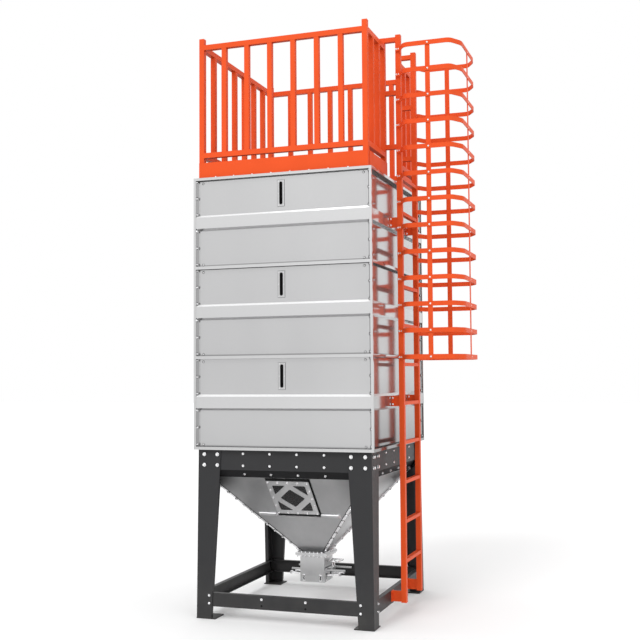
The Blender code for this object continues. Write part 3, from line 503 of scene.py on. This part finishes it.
class SiloSizes(bpy.types.PropertyGroup):
    big_bolt: FloatProperty(name="Frame bolt", description="Across the flats of the leg bolts",
                            default=0.0215, unit="LENGTH")
    small_bolt: FloatProperty(name="Panel bolt", description="Across the flats of panel and beam bolts",
                              default=0.0148, unit="LENGTH")
    seam_pitch: FloatProperty(name="Seam bolt pitch",
                              description="Spacing of the bolts along the hopper's corners",
                              default=0.080, unit="LENGTH")
    post_pitch: FloatProperty(name="Corner bolt pitch",
                              description="Spacing of the bolts up the corner posts",
                              default=0.129, unit="LENGTH")
    roof_pitch: FloatProperty(name="Roof bolt pitch",
                              description="Spacing of the bolts round the roof's edge",
                              default=0.153, unit="LENGTH")
    edge: FloatProperty(name="Edge rounding", description="Radius of the eased edges on tubes and plates",
                        default=0.0025, unit="LENGTH")
    bend_steps: IntProperty(name="Bend steps", description="Segments in each bend of a cage hoop",
                            default=5, min=1, max=12)


class SiloStudio(bpy.types.PropertyGroup):
    sky: FloatProperty(name="Surround", description="Brightness of the white surround", default=1.0, min=0)
    key: FloatProperty(name="Key light", description="Strength of the soft sun", default=1.0, min=0)
    lens: FloatProperty(name="Lens", description="Focal length of the camera in millimetres", default=58.254)
    camera_place: FloatVectorProperty(name="Camera place",
                                      description="From the middle of the body, at floor level",
                                      default=(2.8192, -7.9792, 1.8229), subtype="TRANSLATION")
    yaw: FloatProperty(name="Yaw", description="Camera's turn to the left of +Y",
                       default=radians(19.1756), subtype="ANGLE")
    pitch: FloatProperty(name="Pitch", description="Camera's tilt above the horizon",
                         default=radians(3.1399), subtype="ANGLE")
    roll: FloatProperty(name="Roll", description="Camera's turn about its own axis",
                        default=radians(-0.412), subtype="ANGLE")


# Places on the silo

def on_side(side, along, out, height):
    """A point beside one side of the body: along it, out from the middle, and up."""
    _, outward, sideways, _, _ = side
    return CENTRE + outward * out + sideways * along + Vector((0, 0, height))


def slope_top(name):
    """Half of the hopper's outer plan at its top edge, across one side."""
    edge = HALF_Y if name in ("front", "rear") else HALF_X
    return edge - LEG_INSETS[name] - SLOPE_BEHIND


def slope_ratio(name):
    """How far the plate moves in for each metre down."""
    return (slope_top(name) - MOUTH_HALF) / (SLOPE_UP - MOUTH_HEIGHT)


def slope_half(name, height):
    """Half of the hopper's outer plan at a height, across one side."""
    return MOUTH_HALF + (height - MOUTH_HEIGHT) * slope_ratio(name)


def slope_outward(side):
    """Outward direction of one hopper plate."""
    name, outward, _, _, _ = side
    return (outward - Vector((0, 0, slope_ratio(name)))).normalized()


def leg_inset(name, height):
    return LEG_INSETS[name] - LEG_SPLAY * (1 - height / FRAME_TOP)


# Pieces

class SILO_OT_walls(bpy.types.Operator):
    """Finish the wall panels, the corner posts, the base ring and the roof"""
    bl_idname = "silo.walls"
    bl_label = "Walls and roof"

    def execute(self, context):
        dress(WALL_NODES, finish("sheet"))
        return {"FINISHED"}


class SILO_OT_wall_bolts(bpy.types.Operator):
    """Bolts up the corner posts and screws at the panels' corners"""
    bl_idname = "silo.wall_bolts"
    bl_label = "Wall bolts"

    def execute(self, context):
        sizes = context.scene.silo_sizes
        bolt = bolt_template(sizes.small_bolt, 0.009, sizes.small_bolt * 1.35)
        screw = rivet_template(0.0068, 0.004)
        # Painted shadow: thin black discs, a little wider than the washers, under each bolt and screw.
        bolt_shadow_ring = rivet_template(0.0135, 0.0005)
        screw_shadow_ring = rivet_template(0.0095, 0.0005)
        bm = bmesh.new()
        shadow_rings = bmesh.new()
        for _, sign_x, sign_y in CORNERS:
            outward = Vector((sign_x, sign_y, 0)).normalized()
            web = CENTRE + Vector((sign_x * (HALF_X - 0.0228), sign_y * (HALF_Y - 0.0198), 0))
            for module in range(MODULES):
                base = BODY_BASE + module * MODULE_HEIGHT
                for step in range(6):
                    height = base + 0.0246 + step * sizes.post_pitch
                    place = turned_to(web + Vector((0, 0, height)), outward, step * 0.7)
                    stamp(bm, bolt, place)
                    stamp(shadow_rings, bolt_shadow_ring, place)
        for side in SIDES:
            _, outward, _, edge, reach = side
            for module in range(MODULES):
                base = BODY_BASE + module * MODULE_HEIGHT
                for height in (base + 0.022, base + MODULE_HEIGHT - 0.035):
                    for sign in (-1, 1):
                        point = on_side(side, sign * (reach - 0.068), edge - PANEL_DEPTH, height)
                        stamp(bm, screw, turned_to(point, outward))
                        stamp(shadow_rings, screw_shadow_ring, turned_to(point, outward))
        finish_piece("wall_bolts", bm, finish("zinc"), "silo")
        finish_piece("wall_bolt_shadow_rings", shadow_rings, finish("rubber_and_shadow"), "silo")
        return {"FINISHED"}


class SILO_OT_sight_slots(bpy.types.Operator):
    """Framed sight slots on the front panels"""
    bl_idname = "silo.sight_slots"
    bl_label = "Sight slots"

    def execute(self, context):
        half_width = 0.0275
        half_height = 0.101
        slot_half = 0.0098
        slot_reach = 0.085
        plane = -HALF_Y + PANEL_DEPTH
        plates = bmesh.new()
        seals = bmesh.new()
        panes = bmesh.new()
        screws = bmesh.new()
        screw = rivet_template(0.0035, 0.0022)
        for module in range(MODULES):
            middle = Vector((CENTRE.x - 0.003, plane, BODY_BASE + module * MODULE_HEIGHT + 0.542))
            self.capsule_plate(plates, middle, half_width, half_height, slot_half, slot_reach, 0.0025)
            self.capsule_ring(seals, middle, slot_half + 0.0004, slot_reach + 0.0004, 0.0022, 0.0042)
            block(panes, middle + Vector((-slot_half - 0.0015, -0.0008, -slot_reach - 0.0015)),
                  middle + Vector((slot_half + 0.0015, -0.0002, slot_reach + 0.0015)))
            upright = Vector((0.0018, 0.0003, half_height))
            level = Vector((half_width, 0.0003, 0.0018))
            for sign in (-1, 1):
                edge = middle + Vector((sign * half_width, -0.0007, 0))
                block(seals, edge - upright, edge + upright)
                edge = middle + Vector((0, -0.0007, sign * half_height))
                block(seals, edge - level, edge + level)
            for along in (-1, 1):
                for up in (-1, 0, 1):
                    inset = Vector((along * (half_width - 0.007), -0.0025, up * (half_height - 0.010)))
                    stamp(screws, screw, turned_to(middle + inset, Vector((0, -1, 0))))
        finish_piece("sight_frames", plates, finish("sheet"), "silo")
        finish_piece("sight_seals", seals, finish("rubber_and_shadow"), "silo")
        finish_piece("sight_panes", panes, finish("slot"), "silo")
        finish_piece("sight_screws", screws, finish("zinc"), "silo")
        return {"FINISHED"}

    def outline(self, bm, middle, half_width, reach, steps=8):
        """Edge loop of a slot with round ends, in the wall's plane."""
        verts = []
        for end in (1, -1):
            for step in range(steps + 1):
                angle = pi * step / steps + (0 if end > 0 else pi)
                across = half_width * cos(angle)
                up = half_width * sin(angle) + end * (reach - half_width)
                verts.append(bm.verts.new(middle + Vector((across, 0, up))))
        return verts

    def capsule_ring(self, bm, middle, half_width, reach, wide, proud):
        inner = self.outline(bm, middle, half_width - 0.0004, reach - 0.0004)
        outer = self.outline(bm, middle, half_width + wide, reach + wide)
        self.band(bm, inner, outer, proud)

    def capsule_plate(self, bm, middle, half_width, half_height, slot_half, slot_reach, proud):
        inner = self.outline(bm, middle, slot_half, slot_reach)
        outer = []
        for vert in inner:
            offset = vert.co - middle
            scale_x = half_width / max(abs(offset.x), 0.00001)
            scale_z = half_height / max(abs(offset.z), 0.00001)
            scale = min(scale_x, scale_z)
            outer.append(bm.verts.new(middle + offset * scale))
        self.band(bm, inner, outer, proud)
        corners = []
        for along in (-1, 1):
            for up in (-1, 1):
                corners.append(middle + Vector((along * half_width, 0, up * half_height)))
        for corner in corners:
            for layer in (0.0, proud):
                target = corner + Vector((0, -layer, 0))
                nearest = min(bm.verts, key=lambda vert: (vert.co - target).length)
                nearest.co = target

    def band(self, bm, inner, outer, proud):
        count = len(inner)
        faces = []
        for index in range(count):
            after = (index + 1) % count
            faces.append(bm.faces.new((inner[index], inner[after], outer[after], outer[index])))
        made = bmesh.ops.extrude_face_region(bm, geom=faces)
        moved = [item for item in made["geom"] if isinstance(item, bmesh.types.BMVert)]
        bmesh.ops.translate(bm, vec=(0, -proud, 0), verts=moved)
        bmesh.ops.recalc_face_normals(bm, faces=bm.faces)


class SILO_OT_frame(bpy.types.Operator):
    """Finish the legs and beams and bolt them together"""
    bl_idname = "silo.frame"
    bl_label = "Legs and beams"

    def execute(self, context):
        sizes = context.scene.silo_sizes
        dress(STEEL_NODES, finish("frame"), sizes.edge)
        big = bolt_template(sizes.big_bolt, 0.011, sizes.big_bolt * 1.40)
        medium = bolt_template(0.0145, 0.007, 0.0205)
        # Painted shadow: thin black discs, a little wider than the washers, under the bolts; the hole disc
        # stands alone.
        big_shadow_ring = rivet_template(0.0190, 0.0006)
        medium_shadow_ring = rivet_template(0.0138, 0.0006)
        hole = rivet_template(0.008, 0.0012)
        bm = bmesh.new()
        holes_and_shadow_rings = bmesh.new()
        for side in SIDES:
            name, outward, _, edge, reach = side
            beam_out = edge - LEG_INSETS[name] - LEG_STEEL - 0.0003
            base_out = edge - leg_inset(name, 0.196) - LEG_STEEL - 0.0003
            for sign in (-1, 1):
                for inward in (0.0755, 0.184):
                    for height in (1.238, 1.158):
                        point = on_side(side, sign * (reach - inward), edge - leg_inset(name, height), height)
                        stamp(bm, big, turned_to(point, outward, height * 9 + inward * 31))
                        stamp(holes_and_shadow_rings, big_shadow_ring, turned_to(point, outward))
                for height in (0.176, 0.117):
                    point = on_side(side, sign * (reach - 0.1185), edge - leg_inset(name, height), height)
                    stamp(bm, medium, turned_to(point, outward, height * 11))
                    stamp(holes_and_shadow_rings, medium_shadow_ring, turned_to(point, outward))
                point = on_side(side, sign * reach * 0.2425, base_out, 0.1685)
                stamp(bm, medium, turned_to(point, outward, 0.3))
                point = on_side(side, sign * reach * 0.2425, base_out, 0.121)
                stamp(holes_and_shadow_rings, hole, turned_to(point, outward))
            for along in (-0.451, -0.1505, 0.1505, 0.451):
                for height in (1.246, 1.156):
                    point = on_side(side, along * reach, beam_out, height)
                    stamp(bm, medium, turned_to(point, outward, along * 5))
                    stamp(holes_and_shadow_rings, medium_shadow_ring, turned_to(point, outward))
                lip_height = 1.0915
                fold = beam_out - (FRAME_TOP - BEAM_WEB - lip_height) * slope_ratio(name)
                point = on_side(side, along * reach, fold, lip_height)
                stamp(bm, medium, turned_to(point, slope_outward(side), along * 3))
                stamp(holes_and_shadow_rings, medium_shadow_ring, turned_to(point, slope_outward(side)))
        finish_piece("frame_bolts", bm, finish("zinc"), "silo")
        finish_piece("frame_holes_and_shadow_rings", holes_and_shadow_rings, finish("rubber_and_shadow"), "silo")
        return {"FINISHED"}


class SILO_OT_hopper(bpy.types.Operator):
    """Finish the hopper plates and bolt their corner seams"""
    bl_idname = "silo.hopper"
    bl_label = "Hopper"

    def execute(self, context):
        sizes = context.scene.silo_sizes
        dress(HOPPER_NODES, finish("hopper"), 0.0007)
        bolt = bolt_template(0.0130, 0.008, 0.0180)
        nut = bolt_template(0.0125, 0.008, 0.0175, 0.006)
        # Painted shadow: a thin black disc, a little wider than the washer, under each seam bolt.
        ring = rivet_template(0.0120, 0.0004)
        bm = bmesh.new()
        strips = bmesh.new()
        seam_and_bolt_shadows = bmesh.new()
        high = 1.040
        low = 0.450
        run = Vector((slope_ratio("left"), slope_ratio("front"), 1)) * (high - low)
        count = int(run.length / sizes.seam_pitch)
        for side in SIDES[:2]:
            name = side[0]
            slope = slope_outward(side)
            for sign in (-1, 1):
                self.strip(strips, side, sign, (-0.0040, 0.0174), 0.0002, 0.0014)
                self.strip(strips, side, sign, (0.0075, 0.0174), -0.0097, -0.0084)
                # Painted shadow: thin black strips beside the seam strips.
                self.strip(seam_and_bolt_shadows, side, sign, (-0.0095, -0.0042), 0.0002, 0.0008)
                self.strip(seam_and_bolt_shadows, side, sign, (0.0035, 0.0073), -0.0090, -0.0083)
                for step in range(count + 1):
                    height = high - (high - low) * step / count
                    along = sign * (slope_half("left", height) + 0.010)
                    point = on_side(side, along, slope_half(name, height), height)
                    stamp(bm, bolt, turned_to(point + slope * 0.0014, slope, step * 0.9))
                    stamp(seam_and_bolt_shadows, ring, turned_to(point + slope * 0.0014, slope))
                    back = point - slope * 0.0097
                    stamp(bm, nut, turned_to(back, -slope, step * 0.5))
        finish_piece("hopper_bolts", bm, finish("zinc"), "silo")
        finish_piece("hopper_strips", strips, finish("zinc"), "silo")
        finish_piece("hopper_seam_and_bolt_shadows", seam_and_bolt_shadows, finish("rubber_and_shadow"), "silo")
        return {"FINISHED"}

    def strip(self, bm, side, sign, across, low_lift, high_lift):
        """A flat bar down a corner seam, between two distances past the neighbouring plate."""
        slope = slope_outward(side)
        near, far = across
        high = 1.048
        low = 0.432
        verts = []
        for lift in (low_lift, high_lift):
            for height, past in ((high, near), (high, far), (low, far), (low, near)):
                along = sign * (slope_half("left", height) + past)
                point = on_side(side, along, slope_half(side[0], height), height)
                verts.append(bm.verts.new(point + slope * lift))
        bm.faces.new(verts[:4])
        bm.faces.new(verts[4:])
        for index in range(4):
            after = (index + 1) % 4
            bm.faces.new((verts[index], verts[after], verts[after + 4], verts[index + 4]))
        bmesh.ops.recalc_face_normals(bm, faces=bm.faces)


class SILO_OT_window(bpy.types.Operator):
    """The inspection window: seal, dark pane, cut-out guard and its bolts"""
    bl_idname = "silo.window"
    bl_label = "Inspection window"

    def execute(self, context):
        dress(["window_glass"], finish("pane"))
        side = SIDES[0]
        slope = slope_outward(side)
        down = Vector((0, slope.z, -slope.y)).normalized()
        if down.z > 0:
            down = -down
        origin = CENTRE + Vector((0, -slope_top("front"), SLOPE_UP))
        self.plane = Matrix((
            (1, down.x, slope.x, origin.x),
            (0, down.y, slope.y, origin.y),
            (0, down.z, slope.z, origin.z),
            (0, 0, 0, 1),
        ))
        self.make_guard(slope)
        seal = bmesh.new()
        outer = (0.184, 0.083, 0.4945)
        inner = (0.1485, 0.1315, 0.4555)
        low = 0.0003
        high = 0.0055
        left = -0.1722
        for start, end in (
            ((left, outer[1], low), (outer[0], inner[1], high)),
            ((left, inner[2], low), (outer[0], outer[2], high)),
            ((left, inner[1], low), (-inner[0], inner[2], high)),
            ((inner[0], inner[1], low), (outer[0], inner[2], high)),
        ):
            block(seal, start, end)
        bmesh.ops.transform(seal, matrix=self.plane, verts=seal.verts)
        bmesh.ops.recalc_face_normals(seal, faces=seal.faces)
        finish_piece("window_seal", seal, finish("rubber_and_shadow"), "silo")
        bolts = bmesh.new()
        bolt = bolt_template(0.013, 0.007, 0.018)
        across = 0.159
        top = 0.120
        bottom = 0.460
        places = []
        for step in range(5):
            along = across * (step - 2) / 2
            places += [(along, top), (along, bottom)]
            if 0 < step < 4:
                run = top + (bottom - top) * step / 4
                places += [(-across, run), (across, run)]
        for along, run in places:
            point = self.plane @ Vector((along, run, 0.0089))
            stamp(bolts, bolt, turned_to(point, slope, along * 20))
        finish_piece("window_bolts", bolts, finish("zinc"), "silo")
        return {"FINISHED"}

    def make_guard(self, slope):
        """The guard again, with the corners of its openings rounded."""
        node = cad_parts["window_guard"]
        bm = bmesh.new()
        bm.from_mesh(node.data)
        bmesh.ops.remove_doubles(bm, verts=bm.verts, dist=0.00002)
        bmesh.ops.dissolve_limit(bm, angle_limit=radians(1), verts=bm.verts, edges=bm.edges)
        bmesh.ops.triangulate(bm, faces=[face for face in bm.faces if len(face.verts) > 4])
        corners = []
        for edge in bm.edges:
            way = (edge.verts[1].co - edge.verts[0].co).normalized()
            if abs(way.dot(slope)) > 0.99 and len(edge.link_faces) == 2 and edge.calc_face_angle(0) > 0.5:
                corners.append(edge)
        bmesh.ops.bevel(bm, geom=corners, offset=0.010, affect="EDGES", segments=4, profile=0.5, material=-1)
        guard = finish_piece("window_guard_rounded", bm, finish("guard"), "silo")
        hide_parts("window_guard")


class SILO_OT_outlet(bpy.types.Operator):
    """Outlet flange bolts, throat clamps, guide rods and the gate's pull"""
    bl_idname = "silo.outlet"
    bl_label = "Outlet and gate"

    def execute(self, context):
        dress(OUTLET_NODES, finish("throat"), 0.0008)
        bolt = bolt_template(0.014, 0.009, 0.019)
        nut = bolt_template(0.013, 0.008, 0.018, 0.005)
        # Painted shadow: thin black discs, a little wider than the washers, under the flange bolts.
        ring = rivet_template(0.0125, 0.0004)
        bm = bmesh.new()
        shadow_rings = bmesh.new()
        reach = 0.1185
        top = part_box("outlet_flange")[1].z
        bottom = top - 0.020
        steps = 7
        for side in SIDES:
            for step in range(steps):
                along = -reach + 2 * reach * step / steps
                point = on_side(side, along, reach, 0)
                stamp(bm, bolt, turned_to(point + Vector((0, 0, top)), Vector((0, 0, 1)), step))
                stamp(shadow_rings, ring, turned_to(point + Vector((0, 0, top)), Vector((0, 0, 1))))
                stamp(bm, nut, turned_to(point + Vector((0, 0, bottom)), Vector((0, 0, -1)), step))
        finish_piece("outlet_bolts", bm, finish("zinc"), "silo")
        finish_piece("outlet_bolt_shadow_rings", shadow_rings, finish("rubber_and_shadow"), "silo")
        self.make_fittings()
        self.make_pull()
        return {"FINISHED"}

    def make_fittings(self):
        """Slotted clamp plates on the throat's lower corners and the rods beside it."""
        bm = bmesh.new()
        slots = bmesh.new()
        half = 0.102
        for side in SIDES:
            for sign in (-1, 1):
                low = on_side(side, sign * 0.070 - 0.011, half + 0.0003, 0.1945)
                high = on_side(side, sign * 0.070 + 0.011, half + 0.0050, 0.2465)
                block(bm, low, high, 0.001)
                low = on_side(side, sign * 0.070 - 0.0035, half + 0.0040, 0.2065)
                high = on_side(side, sign * 0.070 + 0.0035, half + 0.0056, 0.2345)
                block(slots, low, high)
        for end, reach in ((-1, 0.190), (1, 0.212)):
            for across in (-0.055, 0.055):
                start = CENTRE + Vector((end * (half + 0.0003), across, 0.2405))
                stop = CENTRE + Vector((end * reach, across, 0.2505))
                rod(bm, start, stop, 0.0085)
                tip = stop + Vector((end * 0.004, 0, 0))
                block(bm, tip - Vector((0.006, 0.018, 0.011)), tip + Vector((0.006, 0.018, 0.011)), 0.001)
                ring = start + Vector((end * 0.001, 0, 0))
                rod(slots, ring, ring + Vector((end * 0.004, 0, 0)), 0.0135)
        finish_piece("outlet_fittings", bm, finish("zinc"), "silo")
        finish_piece("outlet_slots", slots, finish("rubber_and_shadow"), "silo")

    def make_pull(self):
        """The U-shaped bar that pulls the gate."""
        bm = bmesh.new()
        _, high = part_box("slide_gate")
        level = high.z + 0.052
        end = high.x + 0.055
        post = high.x - 0.006
        for across in (-0.056, 0.056):
            rod(bm, (CENTRE.x + 0.112, across, level), (end, across, level), 0.0065)
        rod(bm, (end, -0.061, level), (end, 0.061, level), 0.0065)
        rod(bm, (CENTRE.x + 0.116, -0.056, level), (CENTRE.x + 0.116, 0.056, level), 0.0055)
        for across in (-0.026, 0.026):
            rod(bm, (post, across, high.z - 0.002), (post, across, level), 0.0055)
        rod(bm, (post, -0.056, level), (post, 0.056, level), 0.0055)
        finish_piece("gate_pull_bar", bm, finish("zinc"), "gate", True)


class SILO_OT_guardrail(bpy.types.Operator):
    """Finish the guardrail and bolt it to the roof"""
    bl_idname = "silo.guardrail"
    bl_label = "Guardrail"

    def execute(self, context):
        sizes = context.scene.silo_sizes
        dress([name for name in ORANGE_NODES if name != "ladder"], finish("orange"), sizes.edge)
        bolt = bolt_template(0.012, 0.006, 0.018)
        bm = bmesh.new()
        up = Vector((0, 0, 1))
        for side in SIDES:
            name, _, _, edge, reach = side
            count = int(reach / sizes.roof_pitch)
            for step in range(-count, count):
                along = (step + 0.5) * sizes.roof_pitch
                point = on_side(side, along, edge - 0.013, ROOF_TOP)
                stamp(bm, bolt, turned_to(point, up, step * 0.8))
        finish_piece("roof_edge_bolts", bm, finish("zinc"), "silo")
        return {"FINISHED"}


class SILO_OT_ladder(bpy.types.Operator):
    """Finish the ladder and bolt its brackets"""
    bl_idname = "silo.ladder"
    bl_label = "Ladder"

    def execute(self, context):
        dress(["ladder"], finish("orange"), context.scene.silo_sizes.edge)
        bolt = bolt_template(0.013, 0.007, 0.020)
        bm = bmesh.new()
        out = Vector((1, 0, 0))
        middle = LADDER_HALF - 0.020
        face = 0.0066
        for module in (0, 2):
            height = BODY_BASE + module * MODULE_HEIGHT + BAND_MIDDLE
            for sign in (-1, 1):
                for beside in (-1, 1):
                    for up in (-1, 1):
                        point = CENTRE + Vector((HALF_X - 0.001 + face, sign * middle + beside * 0.018,
                                                 height + up * 0.024))
                        stamp(bm, bolt, turned_to(point, out, height + up))
        finish_piece("ladder_bolts", bm, finish("zinc"), "silo")
        return {"FINISHED"}


class SILO_OT_cage(bpy.types.Operator):
    """Cage hoops with rounded bends, straps and bolts"""
    bl_idname = "silo.cage"
    bl_label = "Safety cage"

    def execute(self, context):
        steps = context.scene.silo_sizes.bend_steps
        low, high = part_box("cage_outer")
        count = 13
        hoop = 0.036
        pitch = (high.z - low.z - hoop) / (count - 1)
        front = bmesh.new()
        for index in range(count):
            self.hoop(front, low.z + index * pitch, hoop, steps)
        piece = finish_piece("cage_hoops", front, finish("orange"), "silo")
        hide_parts("cage_front", "cage_rear", "cage_outer")
        straps = bmesh.new()
        thick = 0.0045
        half_width = 0.019
        x_out = high.x - CENTRE.x - 0.005
        for sign in (-1, 1):
            inner = Vector((STRAP_PLACE - half_width, sign * (CAGE_HALF - thick), low.z + 0.002))
            outer = Vector((STRAP_PLACE + half_width, sign * (CAGE_HALF - 0.0002), high.z - 0.002))
            block(straps, CENTRE + inner, CENTRE + outer, 0.0012)
        block(straps, CENTRE + Vector((x_out - thick, -half_width, low.z + 0.002)),
              CENTRE + Vector((x_out - 0.0002, half_width, high.z - 0.002)), 0.0012)
        finish_piece("cage_straps", straps, finish("orange"), "silo")
        bolts = bmesh.new()
        dome = rivet_template(0.0085, 0.0055)
        for index in range(count):
            height = low.z + hoop / 2 + index * pitch
            for sign in (-1, 1):
                side = Vector((0, sign, 0))
                for along in (0.784, 0.803):
                    point = CENTRE + Vector((along, sign * (LADDER_HALF + 0.0053), height))
                    stamp(bolts, dome, turned_to(point, side))
                point = CENTRE + Vector((STRAP_PLACE, sign * (CAGE_HALF + 0.005), height))
                stamp(bolts, dome, turned_to(point, side))
            point = CENTRE + Vector((x_out + 0.004, 0, height))
            stamp(bolts, rivet_template(0.0085, 0.001), turned_to(point, Vector((1, 0, 0))))
        finish_piece("cage_bolts", bolts, finish("zinc"), "silo")
        return {"FINISHED"}

    def hoop(self, bm, base, height, steps):
        """A bent flat bar: a ribbon, its bends rounded, then given its thickness."""
        ribbon = bmesh.new()
        tab = LADDER_HALF + 0.0005
        half = [(0.7758, tab), (0.8138, tab), (0.8648, CAGE_HALF), (1.221, CAGE_HALF), (1.288, 0.240)]
        points = [(x, -y) for x, y in half] + [(x, y) for x, y in reversed(half)]
        verts = [ribbon.verts.new(CENTRE + Vector((x, y, base))) for x, y in points]
        edges = [ribbon.edges.new(pair) for pair in zip(verts, verts[1:])]
        made = bmesh.ops.extrude_edge_only(ribbon, edges=edges)
        moved = [item for item in made["geom"] if isinstance(item, bmesh.types.BMVert)]
        bmesh.ops.translate(ribbon, vec=(0, 0, height), verts=moved)
        bends = [edge for edge in ribbon.edges if len(edge.link_faces) == 2]
        bmesh.ops.bevel(ribbon, geom=bends, offset=0.028, affect="EDGES", segments=steps,
                        profile=0.5, material=-1)
        bmesh.ops.recalc_face_normals(ribbon, faces=ribbon.faces)
        probe = min(ribbon.faces, key=lambda face: -face.calc_center_median().x)
        if probe.normal.x < 0:
            bmesh.ops.reverse_faces(ribbon, faces=ribbon.faces)
        bmesh.ops.solidify(ribbon, geom=ribbon.faces, thickness=-0.0048)
        mesh = bpy.data.meshes.new("ribbon")
        ribbon.to_mesh(mesh)
        ribbon.free()
        bm.from_mesh(mesh)
        bpy.data.meshes.remove(mesh)


class SILO_OT_hatch(bpy.types.Operator):
    """Handle and hinge of the roof hatch"""
    bl_idname = "silo.hatch"
    bl_label = "Roof hatch"

    def execute(self, context):
        low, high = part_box("roof_hatch")
        middle = (low + high) / 2
        bm = bmesh.new()
        foot = Vector((middle.x, middle.y - 0.10, high.z))
        rise = Vector((0, 0, 0.035))
        for sign in (-1, 1):
            across = Vector((sign * 0.05, 0, 0))
            rod(bm, foot + across - rise * 0.086, foot + across + rise, 0.006)
        grip = Vector((0.056, 0, 0))
        rod(bm, foot + rise - grip, foot + rise + grip, 0.006)
        hinge_low = (middle.x - 0.05, high.y - 0.030, low.z + 0.02)
        hinge_high = (middle.x + 0.05, high.y + 0.004, low.z + 0.045)
        block(bm, hinge_low, hinge_high, 0.002)
        finish_piece("hatch_fittings", bm, finish("zinc"), "silo")
        return {"FINISHED"}


class SILO_OT_studio(bpy.types.Operator):
    """White surround, soft key light, pale floor and the camera"""
    bl_idname = "silo.studio"
    bl_label = "Studio"

    def execute(self, context):
        scene = context.scene
        studio = scene.silo_studio
        scene.view_settings.view_transform = "Standard"
        world = bpy.data.worlds.new("surround")
        world.use_nodes = True
        background = world.node_tree.nodes["Background"]
        background.inputs["Color"].default_value = (1.0, 1.0, 1.0, 1.0)
        background.inputs["Strength"].default_value = studio.sky
        scene.world = world
        bm = bmesh.new()
        bmesh.ops.create_grid(bm, x_segments=8, y_segments=8, size=60.0)
        mesh = bpy.data.meshes.new("floor")
        bmesh.ops.translate(bm, vec=(0, 0, -0.001), verts=bm.verts)
        bm.to_mesh(mesh)
        bm.free()
        floor = bpy.data.objects.new("floor", mesh)
        scene.collection.objects.link(floor)
        mesh.materials.append(finish("floor"))
        sun = bpy.data.lights.new("key", "SUN")
        sun.energy = studio.key
        sun.angle = radians(25)
        key = bpy.data.objects.new("key", sun)
        key.rotation_euler = (radians(48), 0, radians(-12))
        scene.collection.objects.link(key)
        self.make_camera(scene, studio)
        return {"FINISHED"}

    def make_camera(self, scene, studio):
        lens = bpy.data.cameras.new("camera")
        lens.sensor_fit = "HORIZONTAL"
        lens.sensor_width = 36.0
        lens.lens = studio.lens
        camera = bpy.data.objects.new("camera", lens)
        flat = Vector((-sin(studio.yaw), cos(studio.yaw), 0))
        ahead = flat * cos(studio.pitch) + Vector((0, 0, sin(studio.pitch)))
        level = Vector((cos(studio.yaw), sin(studio.yaw), 0))
        up = level.cross(ahead)
        right = level * cos(studio.roll) + up * sin(studio.roll)
        top = up * cos(studio.roll) - level * sin(studio.roll)
        turn = Matrix((right, top, -ahead)).transposed().to_4x4()
        camera.matrix_world = Matrix.Translation(CENTRE + Vector(studio.camera_place)) @ turn
        scene.collection.objects.link(camera)
        scene.camera = camera


OPERATORS = (
    SILO_OT_walls,
    SILO_OT_wall_bolts,
    SILO_OT_sight_slots,
    SILO_OT_frame,
    SILO_OT_hopper,
    SILO_OT_window,
    SILO_OT_outlet,
    SILO_OT_guardrail,
    SILO_OT_ladder,
    SILO_OT_cage,
    SILO_OT_hatch,
    SILO_OT_studio,
)


class SILO_PT_panel(bpy.types.Panel):
    """Buttons for each group of pieces"""
    bl_label = "Silo"
    bl_idname = "SILO_PT_panel"
    bl_space_type = "VIEW_3D"
    bl_region_type = "UI"
    bl_category = "Silo"

    def draw(self, context):
        for operator in OPERATORS:
            self.layout.operator(operator.bl_idname)


CLASSES = (SiloLooks, SiloSizes, SiloStudio) + OPERATORS + (SILO_PT_panel,)


def register():
    for item in CLASSES:
        bpy.utils.register_class(item)
    bpy.types.Scene.silo_looks = PointerProperty(type=SiloLooks)
    bpy.types.Scene.silo_sizes = PointerProperty(type=SiloSizes)
    bpy.types.Scene.silo_studio = PointerProperty(type=SiloStudio)


def unregister():
    del bpy.types.Scene.silo_studio
    del bpy.types.Scene.silo_sizes
    del bpy.types.Scene.silo_looks
    for item in reversed(CLASSES):
        bpy.utils.unregister_class(item)


def main():
    register()
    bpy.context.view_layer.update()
    for operator in OPERATORS:
        group, name = operator.bl_idname.split(".")
        getattr(getattr(bpy.ops, group), name)()


if __name__ == "__main__":
    main()
